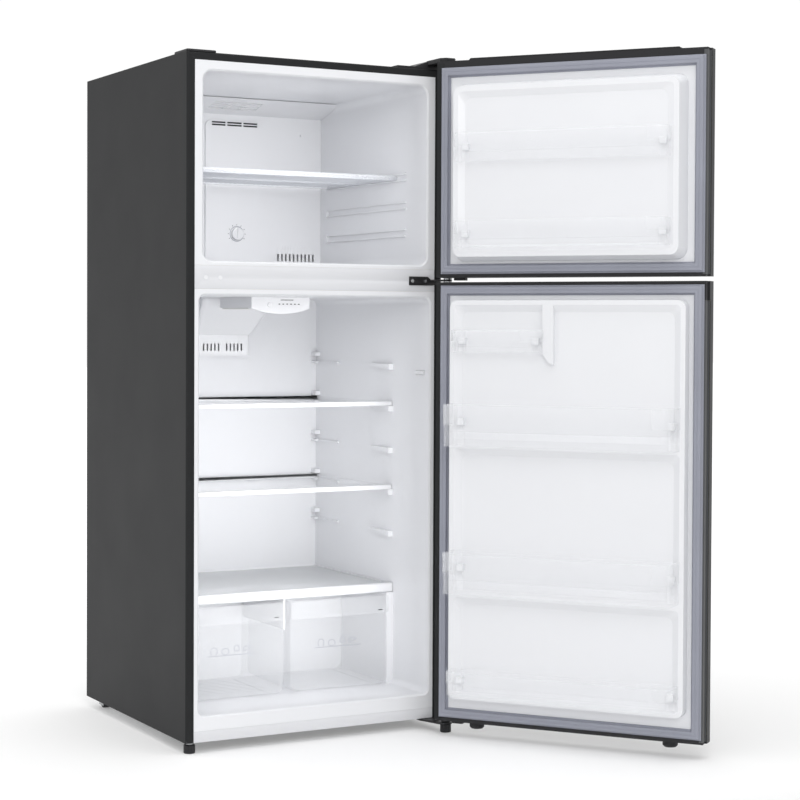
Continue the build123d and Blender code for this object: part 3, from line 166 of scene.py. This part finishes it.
MATERIALS = {
    "case_paint": finish_material("case_paint", (0.017, 0.0175, 0.0185), 0.52, grain=1400,
                                  Specular_IOR_Level=0.16),
    "door_paint": finish_material("door_paint", (0.016, 0.017, 0.018), 0.46, grain=1400,
                                  Specular_IOR_Level=0.25),
    "back_steel": finish_material("back_steel", (0.42, 0.43, 0.44), 0.42, metallic=0.8, grain=300,
                                  colour_spread=0.12),
    "liner_white": finish_material("liner_white", (0.79, 0.797, 0.82), 0.30, spread=0.02, grain=260,
                                   grain_depth=0.00004, strength=0.12, colour_spread=0.004),
    "trim_white": finish_material("trim_white", (0.70, 0.706, 0.73), 0.34, spread=0.03, grain=700,
                                  colour_spread=0.006),
    "foam": finish_material("foam", (0.72, 0.62, 0.38), 0.9, grain=220, grain_depth=0.0006, strength=0.6,
                            colour_spread=0.10),
    "seal_grey": finish_material("seal_grey", (0.285, 0.295, 0.345), 0.62, grain=1200, colour_spread=0.04,
                                 Specular_IOR_Level=0.3),
    "white_plastic": finish_material("white_plastic", (0.80, 0.805, 0.825), 0.33, spread=0.03, grain=900,
                                     colour_spread=0.006),
    "dark_plastic": finish_material("dark_plastic", (0.016, 0.016, 0.018), 0.46, grain=1500,
                                    grain_depth=0.00007, strength=0.4, Specular_IOR_Level=0.35),
    "grip_plastic": finish_material("grip_plastic", (0.075, 0.077, 0.08), 0.42, grain=1400),
    "hinge_steel": finish_material("hinge_steel", (0.030, 0.030, 0.032), 0.34, metallic=0.5, grain=900),
    "screw_steel": finish_material("screw_steel", (0.58, 0.59, 0.60), 0.24, metallic=1.0, grain=900),
    "compressor_paint": finish_material("compressor_paint", (0.012, 0.012, 0.013), 0.28, grain=240,
                                        grain_depth=0.00015, Coat_Weight=0.4),
    "black_rubber": finish_material("black_rubber", (0.018, 0.018, 0.018), 0.75, grain=900),
    "fin_aluminium": finish_material("fin_aluminium", (0.72, 0.73, 0.74), 0.32, metallic=1.0, grain=600,
                                     colour_spread=0.05),
    "clear_plastic": clear_material("clear_plastic", (0.89, 0.90, 0.92), 0.10, 0.05, 0.22),
    "grey_plastic": clear_material("grey_plastic", (0.80, 0.82, 0.86), 0.22, 0.26, 0.7),
    "shelf_glass": clear_material("shelf_glass", (0.86, 0.885, 0.895), 0.05, 0.035, 0.10, 0.03),
    "lamp_cover": clear_material("lamp_cover", (0.84, 0.84, 0.82), 0.4, 0.6, 0.95),
}


# ------------------------------------------------------------------ softened copies of CAD pieces
WELD_DISTANCE = 2e-6
FLAT_ANGLE = math.radians(1.0)


def round_edges(piece, radius, angle=28.0):
    """Rounds every edge where the surface turns by more than the angle, in degrees."""
    rounding = piece.modifiers.new("rounding", "BEVEL")
    rounding.width = radius
    rounding.segments = 2
    rounding.limit_method = "ANGLE"
    rounding.angle_limit = math.radians(angle)
    rounding.harden_normals = True


def soften(node, radius):
    """Piece that stands for a CAD node: the same body with its triangles joined and its edges rounded."""
    mesh = NODES[node].data.copy()
    grid = bmesh.new()
    grid.from_mesh(mesh)
    bmesh.ops.remove_doubles(grid, verts=grid.verts, dist=WELD_DISTANCE)
    bmesh.ops.dissolve_limit(grid, angle_limit=FLAT_ANGLE, verts=grid.verts, edges=grid.edges)
    grid.to_mesh(mesh)
    grid.free()
    piece = bpy.data.objects.new(f"{node}_body", mesh)
    bpy.context.scene.collection.objects.link(piece)
    round_edges(piece, radius)
    mesh.materials.clear()
    mesh.materials.append(MATERIALS[NODE_SLOT[node]])
    for face in mesh.polygons:
        face.use_smooth = True
    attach(piece, NODE_BODY[node])
    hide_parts(node)


# Nodes that get rounded edges, with the radius of the rounding.
ROUNDED = {
    "mullion_cover": 0.0004, "front_rail": 0.0004, "control_button": 0.0003,
    "upper_shelf_trim": 0.0008, "lower_shelf_trim": 0.0008, "crisper_cover_frame": 0.0008,
    "upper_shelf_glass": 0.0006, "lower_shelf_glass": 0.0006, "crisper_cover_glass": 0.0006,
    "middle_hinge": 0.0004, "bottom_hinge": 0.0004, "top_hinge_cover": 0.0006,
    "foot_left": 0.0005, "foot_right": 0.0005,
}
for node_name, rounding_radius in ROUNDED.items():
    soften(node_name, rounding_radius)

# The sheet over the drawers is the same glass with a frosted face.
FROSTED = clear_material("frosted_glass", (0.86, 0.875, 0.89), 0.3, 0.42, 0.6, 0.03)
bpy.data.objects["crisper_cover_glass_body"].data.materials[0] = FROSTED

for node_name, node_object in NODES.items():
    node_object.data.materials.clear()
    node_object.data.materials.append(MATERIALS[NODE_SLOT[node_name]])


# ------------------------------------------------------------------ places on the doors
def door_space(body):
    """Matrix that takes a point on the closed door to where it is at rest."""
    joint = next(j for j in frame["joints"] if j["child"] == body)
    hinge = Vector(joint["pos_m"])
    opened = math.radians(-joint["range_deg"][0])
    return Matrix.Translation(hinge) @ Matrix.Rotation(opened, 4, "Z") @ Matrix.Translation(-hinge)


def closed_box(node, space):
    """Lowest and highest corner of a door's node as it is with the door closed."""
    back = space.inverted()
    corners = [back @ v.co for v in NODES[node].data.vertices]
    low = Vector(min(c[i] for c in corners) for i in range(3))
    high = Vector(max(c[i] for c in corners) for i in range(3))
    return low, high


def piece_from(name, verts, faces, slot, body, space=None, smooth=True):
    """New piece on a body; space takes points given for a closed door to the door at rest."""
    mesh = bpy.data.meshes.new(name)
    mesh.from_pydata([tuple(v) for v in verts], [], faces)
    if space is not None:
        mesh.transform(space)
    grid = bmesh.new()
    grid.from_mesh(mesh)
    bmesh.ops.recalc_face_normals(grid, faces=grid.faces)
    grid.to_mesh(mesh)
    grid.free()
    mesh.materials.append(MATERIALS[slot])
    for face in mesh.polygons:
        face.use_smooth = smooth
    piece = bpy.data.objects.new(name, mesh)
    bpy.context.scene.collection.objects.link(piece)
    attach(piece, body)
    return piece


# ------------------------------------------------------------------ magnetic door seals
# Section of the seal: share of its width from the outer edge, share of its height off the door.
SEAL_SECTION = (
    (0.00, 0.00), (0.00, 0.22), (0.04, 0.31), (0.13, 0.34), (0.16, 0.42), (0.155, 0.84), (0.19, 0.97),
    (0.24, 1.00), (0.46, 1.00), (0.475, 0.95), (0.525, 0.95), (0.54, 1.00), (0.76, 1.00), (0.81, 0.97),
    (0.845, 0.84), (0.84, 0.42), (0.87, 0.34), (0.96, 0.31), (1.00, 0.22), (1.00, 0.00),
)
SEAL_WIDTH = 0.0249
SEAL_ROUNDING = 0.00035
SEAL_ROUNDING_ANGLE = 14


def door_seal(door):
    """Closed loop of the seal's section round the door, mitred at its four corners."""
    space = door_space(door)
    low, high = closed_box(f"{door}_gasket", space)
    verts, faces = [], []
    for across, height in SEAL_SECTION:
        inset = across * SEAL_WIDTH
        y = low.y + height * (high.y - low.y)
        for x, z in ((low.x + inset, low.z + inset), (high.x - inset, low.z + inset),
                     (high.x - inset, high.z - inset), (low.x + inset, high.z - inset)):
            verts.append((x, y, z))
    count = len(SEAL_SECTION)
    for ring in range(count):
        other = (ring + 1) % count
        for corner in range(4):
            following = (corner + 1) % 4
            faces.append((ring * 4 + corner, ring * 4 + following, other * 4 + following, other * 4 + corner))
    seal = piece_from(f"{door}_seal", verts, faces, "seal_grey", door, space, smooth=False)
    round_edges(seal, SEAL_ROUNDING, SEAL_ROUNDING_ANGLE)
    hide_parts(f"{door}_gasket")


for door_name in ("freezer_door", "fridge_door"):
    door_seal(door_name)


# ------------------------------------------------------------------ small details
# Faces of a block whose eight corners are its lower ring, then its upper ring.
BLOCK_FACES = ((0, 3, 2, 1), (4, 5, 6, 7), (0, 1, 5, 4), (1, 2, 6, 5), (2, 3, 7, 6), (3, 0, 4, 7))


def slabs_piece(name, blocks, slot, body, space=None, rounding=0.0):
    """One piece made of upright blocks, each given as (x0, x1, y0, y1, z0, z1)."""
    verts, faces = [], []
    for x0, x1, y0, y1, z0, z1 in blocks:
        base = len(verts)
        verts += [(x, y, z) for z in (z0, z1) for x, y in ((x0, y0), (x1, y0), (x1, y1), (x0, y1))]
        faces += [tuple(base + i for i in face) for face in BLOCK_FACES]
    piece = piece_from(name, verts, faces, slot, body, space, smooth=rounding > 0)
    if rounding:
        round_edges(piece, rounding)


RING_STEPS = 40
Y_AXIS, Z_AXIS = 1, 2


def ring_piece(name, centre, axis, radii, ends, slot, body):
    """Flat ring round an axis through centre, from one end to the other."""
    inner, outer = radii
    start, finish = ends
    verts = []
    for turn in range(RING_STEPS):
        angle = 2 * math.pi * turn / RING_STEPS
        for radius, end in ((inner, start), (outer, start), (outer, finish), (inner, finish)):
            across, up = radius * math.cos(angle), radius * math.sin(angle)
            if axis == Z_AXIS:
                verts.append((centre.x + across, centre.y + up, end))
            else:
                verts.append((centre.x + across, end, centre.z + up))
    faces = []
    for turn in range(RING_STEPS):
        here, ahead = turn * 4, ((turn + 1) % RING_STEPS) * 4
        faces += [(here + i, ahead + i, ahead + (i + 1) % 4, here + (i + 1) % 4) for i in range(4)]
    return piece_from(name, verts, faces, slot, body, smooth=False)


def strokes_piece(name, lines, width, y0, y1, slot, body):
    """Thin raised strokes in the X-Z plane; each line is a list of (x, z) points."""
    verts, faces = [], []
    for line in lines:
        for (ax, az), (bx, bz) in zip(line, line[1:]):
            length = math.hypot(bx - ax, bz - az)
            nx, nz = -(bz - az) / length * width / 2, (bx - ax) / length * width / 2
            base = len(verts)
            for y in (y0, y1):
                verts += [(ax - nx, y, az - nz), (bx - nx, y, bz - nz),
                          (bx + nx, y, bz + nz), (ax + nx, y, az + nz)]
            faces += [tuple(base + i for i in face) for face in BLOCK_FACES]
    return piece_from(name, verts, faces, slot, body, smooth=False)


def arc(x, z, rx, rz, start, end, steps=10):
    """Points of an ellipse's arc about (x, z), between two angles in degrees."""
    turns = [math.radians(start + (end - start) * i / steps) for i in range(steps + 1)]
    return [(x + rx * math.cos(t), z + rz * math.sin(t)) for t in turns]


KNOB_STAND = 0.0130                  # from the freezer knob's front to the panel behind it
PRINT_FRONT, PRINT_BACK = 0.0004, 0.0001   # how far a printed mark's two faces stand off its panel
DIAL_RING = (0.0196, 0.0210)
DIAL_TICKS = (0.0232, 0.0268)
TICK_COUNT = 9
FIRST_TICK, TICK_PITCH = 210, 30     # degrees
TICK_WIDTH = 0.0012
OUTLET_X = (-0.081, 0.068)           # the dark sheet painted behind the outlet slots as their shade, from the knob's middle
OUTLET_Z = (0.290, 0.3076)
OUTLET_DEPTH = (0.0052, 0.0058)      # behind the panel's face


def knob_dial():
    """Ring and scale on the panel round the freezer knob, and a dark sheet behind its outlet slots: painted shade
    that stands for the dark inside them.
    """
    body = NODE_BODY["evaporator_cover"]
    low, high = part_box("freezer_knob")
    middle = (low + high) / 2
    face = low.y + KNOB_STAND
    printed = (face - PRINT_FRONT, face - PRINT_BACK)
    ring_piece("knob_ring", middle, Y_AXIS, DIAL_RING, printed, "seal_grey", body)
    ticks = []
    for count in range(TICK_COUNT):
        angle = math.radians(FIRST_TICK - TICK_PITCH * count)
        across, up = math.cos(angle), math.sin(angle)
        ticks.append([(middle.x + radius * across, middle.z + radius * up) for radius in DIAL_TICKS])
    strokes_piece("knob_scale", ticks, TICK_WIDTH, *printed, "grip_plastic", body)
    # A thin dark sheet just behind the outlet slots: painted shade for the dark inside the openings.
    shade_sheet = (middle.x + OUTLET_X[0], middle.x + OUTLET_X[1], face + OUTLET_DEPTH[0],
               face + OUTLET_DEPTH[1], middle.z + OUTLET_Z[0], middle.z + OUTLET_Z[1])
    slabs_piece("slot_painted_shade", [shade_sheet], "dark_plastic", body)


CONTROL_MARK_COUNT = 6
FIRST_MARK, MARK_PITCH = -0.006, 0.011      # from the cabinet's middle
MARK_X = (0.0003, 0.0047)                   # from where each mark starts
MARK_Z = (0.0186, 0.0162)                   # below the housing's top
SLOT_X = (0.0003, 0.0357)                   # from the cabinet's middle
SLOT_Z = (0.0077, 0.0061)
FILLING_DEPTH = (0.0004, 0.0009)            # behind the housing's front


def control_marks():
    """Dark fillings of the marks sunk into the control housing."""
    body = NODE_BODY["control_housing"]
    low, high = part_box("control_housing")
    front, back = low.y + FILLING_DEPTH[0], low.y + FILLING_DEPTH[1]
    marks = []
    for count in range(CONTROL_MARK_COUNT):
        x = CABINET_X + FIRST_MARK + count * MARK_PITCH
        marks.append((x + MARK_X[0], x + MARK_X[1], front, back, high.z - MARK_Z[0], high.z - MARK_Z[1]))
    slabs_piece("control_marks", marks, "grip_plastic", body)
    slot = (CABINET_X + SLOT_X[0], CABINET_X + SLOT_X[1], front, back, high.z - SLOT_Z[0], high.z - SLOT_Z[1])
    slabs_piece("control_slot", [slot], "dark_plastic", body)


CRISPER_FACE = 0.009                 # the drawer's front face, behind its foremost edge
ICON_START = (0.27, 0.47)            # shares of the drawer's width and height
ICON_PITCH = 0.031
ICON_STROKE = 0.0011
ICON_DEPTH = (0.0003, 0.00008)       # how far the strokes' two faces stand off the drawer
VENT_MARK_X = (0.031, 0.018)         # in from the drawer's right side
VENT_MARK_DEPTH = (0.0003, 0.00005)
VENT_MARK_Z = (0.0375, 0.0355)       # below the drawer's top


def crisper_icons(node):
    """Generic outlines on the drawer's front (three fruits and a leaf over a line), and a vent mark."""
    low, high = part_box(node)
    face = low.y + CRISPER_FACE
    x0 = low.x + ICON_START[0] * (high.x - low.x)
    z0 = low.z + ICON_START[1] * (high.z - low.z)
    pitch = ICON_PITCH
    lines = [[(x0 - 0.006, z0), (x0 + 4 * pitch + 0.004, z0)]]
    lines.append(arc(x0 + 0.012, z0 + 0.012, 0.009, 0.010, -60, 240))
    lines.append(arc(x0 + pitch + 0.012, z0 + 0.010, 0.010, 0.008, 0, 360, 14))
    lines.append(arc(x0 + 2 * pitch + 0.012, z0 + 0.013, 0.007, 0.011, 0, 180))
    lines.append(arc(x0 + 2 * pitch + 0.012, z0 + 0.013, 0.007, 0.004, 180, 360))
    lines.append(arc(x0 + 3 * pitch + 0.010, z0 + 0.011, 0.011, 0.009, 20, 200))
    lines.append([(x0 + 3 * pitch + 0.002, z0 + 0.008), (x0 + 3 * pitch + 0.021, z0 + 0.015)])
    strokes_piece(f"{node}_icons", lines, ICON_STROKE, face - ICON_DEPTH[0], face - ICON_DEPTH[1],
                  "seal_grey", NODE_BODY[node])
    mark = (high.x - VENT_MARK_X[0], high.x - VENT_MARK_X[1], low.y - VENT_MARK_DEPTH[0],
            low.y - VENT_MARK_DEPTH[1], high.z - VENT_MARK_Z[0], high.z - VENT_MARK_Z[1])
    slabs_piece(f"{node}_vent_mark", [mark], "grip_plastic", NODE_BODY[node])


WASHER_RADII = (0.0044, 0.0105)
ARM_DROP = 0.00095                   # the hinge arm's middle, below the middle of the cover beside it
WASHER_ABOVE = (0.0032, 0.0066)      # from the arm's middle
WASHER_BELOW = (-0.0039, -0.0012)


def hinge_washers():
    """Steel washers on the middle pin, above and below the arm between the doors."""
    joint = next(j for j in frame["joints"] if j["child"] == "freezer_door")
    pin = Vector(joint["pos_m"])
    cover_low, cover_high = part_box("mullion_cover")
    middle = (cover_low.z + cover_high.z) / 2 - ARM_DROP
    body = NODE_BODY["middle_hinge"]
    for name, heights in (("washer_above", WASHER_ABOVE), ("washer_below", WASHER_BELOW)):
        ends = (middle + heights[0], middle + heights[1])
        ring_piece(name, pin, Z_AXIS, WASHER_RADII, ends, "screw_steel", body)


BIN_CORNER = 0.022                   # radius of a door bin's front corners
BAND_REACH = 0.046                   # how far the band runs along the front
BAND_THICK = 0.0005
BAND_INSET = 0.0001                  # the band's outer face, inside the bin's wall
BAND_STEPS = 6
BAND_BACK_GAP = 0.004
BAND_BOTTOM, BAND_TOP = 0.001, 0.0005     # above the bin's middle, below its top
RIM_END, RIM_HIGH = 0.020, 0.0026
RIM_DEPTH = (0.0001, 0.0014)         # off the bin's front
RIM_ROUNDING = 0.0005
STEP_END = 0.024
STEP_INSET = 0.0016
STEP_DEPTH = (0.0001, 0.0008)
STEP_Z = (0.0145, 0.0130)            # below the bin's middle
STEP_ROUNDING = 0.0002


def bin_wrap(name, end, inward, low, high, node, space):
    """Thin band set into one end of a bin's wall: along the front, round the corner and down the side."""
    turns = [math.radians(90 * i / BAND_STEPS) for i in range(BAND_STEPS + 1)]
    plan = [(BAND_REACH, 0.0)]
    plan += [(BIN_CORNER * (1 - math.sin(t)), BIN_CORNER * (1 - math.cos(t))) for t in turns]
    plan += [(0.0, high.y - low.y - BAND_BACK_GAP)]
    verts, faces = [], []
    for index, (across, deep) in enumerate(plan):
        nearer = max(0, min(1, 1 - deep / BIN_CORNER))
        sideways = max(0, min(1, 1 - across / BIN_CORNER))
        for reach in (-BAND_INSET - BAND_THICK, -BAND_INSET):
            for z in ((low.z + high.z) / 2 + BAND_BOTTOM, high.z - BAND_TOP):
                verts.append((end + inward * (across - reach * sideways), high.y - deep + reach * nearer, z))
        if index:
            here, back = index * 4, index * 4 - 4
            faces += [(back, here, here + 1, back + 1), (back + 2, back + 3, here + 3, here + 2),
                      (back, back + 2, here + 2, here), (back + 1, here + 1, here + 3, back + 3)]
    last = len(plan) * 4 - 4
    faces += [(0, 1, 3, 2), (last, last + 2, last + 3, last + 1)]
    piece_from(name, verts, faces, "clear_plastic", NODE_BODY[node], space, smooth=False)


def bin_rims(node, door):
    """Rolled rim along a door bin's front, a band at each end and the step line across its face."""
    space = door_space(door)
    low, high = closed_box(node, space)
    middle = (low.z + high.z) / 2
    front = high.y
    rim = (low.x + RIM_END, high.x - RIM_END, front + RIM_DEPTH[0], front + RIM_DEPTH[1],
           high.z - RIM_HIGH, high.z)
    slabs_piece(f"{node}_rim", [rim], "clear_plastic", NODE_BODY[node], space, RIM_ROUNDING)
    for side, end, inward in (("left", low.x, 1), ("right", high.x, -1)):
        bin_wrap(f"{node}_wrap_{side}", end, inward, low, high, node, space)
    face = front - STEP_INSET
    step = (low.x + STEP_END, high.x - STEP_END, face + STEP_DEPTH[0], face + STEP_DEPTH[1],
            middle - STEP_Z[0], middle - STEP_Z[1])
    slabs_piece(f"{node}_step", [step], "clear_plastic", NODE_BODY[node], space, STEP_ROUNDING)


knob_dial()
control_marks()
hinge_washers()
for crisper_name in ("crisper_left", "crisper_right"):
    crisper_icons(crisper_name)
for bin_name in ("freezer_bin_upper", "freezer_bin_lower"):
    bin_rims(bin_name, "freezer_door")
for bin_name in ("dairy_bin", "fridge_bin_upper", "fridge_bin_middle", "fridge_bin_lower"):
    bin_rims(bin_name, "fridge_door")


# ------------------------------------------------------------------ studio
# The room is a world of soft white light: brighter from above than from below, with a pure
# white backdrop in the one direction that lies behind the refrigerator.
SKY_LOW = 0.42
SKY_HIGH = 1.06
BACKDROP = 1.02
BACKDROP_EDGE = (0.86, 0.94)         # cosine of the angle from straight behind
FLOOR_SIZE = 40
FLOOR_NEAR, FLOOR_FAR = 0.64, 0.80
FLOOR_FADE = (-1.5, -0.6)            # along Y, from the cabinet's front
FLOOR_GLOW = (0.12, 0.42)
GLOW_END = 3.0
LIGHT_INSET = 0.012                  # the compartments' lights, behind the cabinet's front
LIGHT_MARGIN = 0.16
COMPARTMENT_SPREAD = 112
MULLION_GAP, CEILING_GAP, BOTTOM_GAP = 0.06, 0.06, 0.05
FREEZER_POWER, FRIDGE_POWER, CRISPER_POWER = 0.66, 1.5, 0.03
KEY_POWER, TOP_POWER, SIDE_POWER = 50, 30, 9
CLEAR_WALLS = 32                     # clear walls that a ray may pass: doors and drawers stack many


def area_light(name, place, aim, size, power, spread=180):
    """Rectangular light at place that shines towards aim, over a spread given in degrees."""
    data = bpy.data.lights.new(name, "AREA")
    data.shape = "RECTANGLE"
    data.size, data.size_y = size
    data.energy = power
    data.spread = math.radians(spread)
    lamp = bpy.data.objects.new(name, data)
    lamp.location = place
    lamp.rotation_mode = "QUATERNION"
    lamp.rotation_quaternion = (Vector(aim) - Vector(place)).to_track_quat("-Z", "Y")
    bpy.context.scene.collection.objects.link(lamp)


def make_floor():
    """Plain pale floor, a little less bright towards the camera's side."""
    material, tree, shader = new_material("studio_floor", (0.8, 0.8, 0.8), 0.7, Specular_IOR_Level=0.1)
    coord = tree.nodes.new("ShaderNodeTexCoord")
    split = tree.nodes.new("ShaderNodeSeparateXYZ")
    depth = tree.nodes.new("ShaderNodeMapRange")
    depth.inputs["From Min"].default_value = FRONT_Y + FLOOR_FADE[0]
    depth.inputs["From Max"].default_value = FRONT_Y + FLOOR_FADE[1]
    tree.links.new(coord.outputs["Object"], split.inputs["Vector"])
    tree.links.new(split.outputs["Y"], depth.inputs["Value"])
    tint(tree, depth.outputs["Result"], (FLOOR_NEAR,) * 3, (FLOOR_FAR,) * 3, shader.inputs["Base Color"])
    shader.inputs["Emission Color"].default_value = (1, 1, 1, 1)
    far = tree.nodes.new("ShaderNodeMapRange")
    far.inputs["From Min"].default_value = FRONT_Y + FLOOR_FADE[1]
    far.inputs["From Max"].default_value = FRONT_Y + GLOW_END
    tree.links.new(split.outputs["Y"], far.inputs["Value"])
    vary(tree, far.outputs["Result"], *FLOOR_GLOW, shader.inputs["Emission Strength"])
    mesh = bpy.data.meshes.new("studio_floor")
    grid = bmesh.new()
    bmesh.ops.create_grid(grid, x_segments=4, y_segments=4, size=FLOOR_SIZE)
    grid.to_mesh(mesh)
    grid.free()
    mesh.materials.append(material)
    floor = bpy.data.objects.new("studio_floor", mesh)
    bpy.context.scene.collection.objects.link(floor)


def make_world():
    """Soft light from all round, with the white backdrop behind the refrigerator."""
    world = bpy.data.worlds.new("studio")
    world.use_nodes = True
    tree = world.node_tree
    coord = tree.nodes.new("ShaderNodeTexCoord")
    split = tree.nodes.new("ShaderNodeSeparateXYZ")
    tree.links.new(coord.outputs["Generated"], split.inputs["Vector"])
    sky = tree.nodes.new("ShaderNodeMapRange")
    sky.inputs["From Min"].default_value = -1.0
    sky.inputs["From Max"].default_value = 1.0
    sky.inputs["To Min"].default_value = SKY_LOW
    sky.inputs["To Max"].default_value = SKY_HIGH
    tree.links.new(split.outputs["Z"], sky.inputs["Value"])
    along = tree.nodes.new("ShaderNodeVectorMath")
    along.operation = "DOT_PRODUCT"
    along.inputs[1].default_value = (math.sin(CAMERA_YAW), math.cos(CAMERA_YAW), 0)
    tree.links.new(coord.outputs["Generated"], along.inputs[0])
    behind = tree.nodes.new("ShaderNodeMapRange")
    behind.inputs["From Min"].default_value = BACKDROP_EDGE[0]
    behind.inputs["From Max"].default_value = BACKDROP_EDGE[1]
    tree.links.new(along.outputs["Value"], behind.inputs["Value"])
    mix = tree.nodes.new("ShaderNodeMix")
    tree.links.new(behind.outputs["Result"], mix.inputs["Factor"])
    tree.links.new(sky.outputs["Result"], mix.inputs["A"])
    mix.inputs["B"].default_value = BACKDROP
    tree.links.new(mix.outputs["Result"], tree.nodes["Background"].inputs["Strength"])
    tree.nodes["Background"].inputs["Color"].default_value = (1, 1, 1, 1)
    bpy.context.scene.world = world


def compartment_light(name, liner, heights, power):
    """Soft light from a compartment's mouth towards its back.  It is one-sided, so the front hides it."""
    low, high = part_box(liner)
    bottom, top = heights
    place = Vector((CABINET_X, FRONT_Y + LIGHT_INSET, (bottom + top) / 2))
    size = (high.x - low.x - LIGHT_MARGIN, top - bottom)
    area_light(name, place, place + Vector((0, 1, 0)), size, power, COMPARTMENT_SPREAD)


def make_studio():
    make_floor()
    cover_low, cover_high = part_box("mullion_cover")
    freezer_heights = (cover_high.z + MULLION_GAP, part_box("freezer_liner")[1].z - CEILING_GAP)
    fridge_heights = (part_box("fridge_liner")[0].z + BOTTOM_GAP, cover_low.z - MULLION_GAP)
    compartment_light("freezer_light", "freezer_liner", freezer_heights, FREEZER_POWER)
    compartment_light("fridge_light", "fridge_liner", fridge_heights, FRIDGE_POWER)
    centre = (CABINET_X, FRONT_Y, 0.9)
    area_light("key", (CABINET_X - 1.5, FRONT_Y - 4.4, 2.6), centre, (2.4, 2.0), KEY_POWER)
    area_light("top", (CABINET_X, FRONT_Y - 0.8, 4.2), centre, (2.4, 2.4), TOP_POWER)
    area_light("side", (CABINET_X - 2.6, FRONT_Y + 1.6, 1.1), (CABINET_X - 0.35, FRONT_Y + 0.5, 0.9),
               (1.0, 1.8), SIDE_POWER)
    drawer_low, drawer_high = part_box("crisper_right")
    over = Vector(((drawer_low.x + drawer_high.x) / 2, (drawer_low.y + drawer_high.y) / 2,
                   drawer_high.z - 0.004))
    area_light("crisper_light", over, over - Vector((0, -0.02, 1)), (0.24, 0.2), CRISPER_POWER)
    make_world()
    bpy.context.scene.view_settings.view_transform = "Standard"
    bpy.context.scene.cycles.transparent_max_bounces = CLEAR_WALLS


make_studio()

bpy.context.view_layer.update()
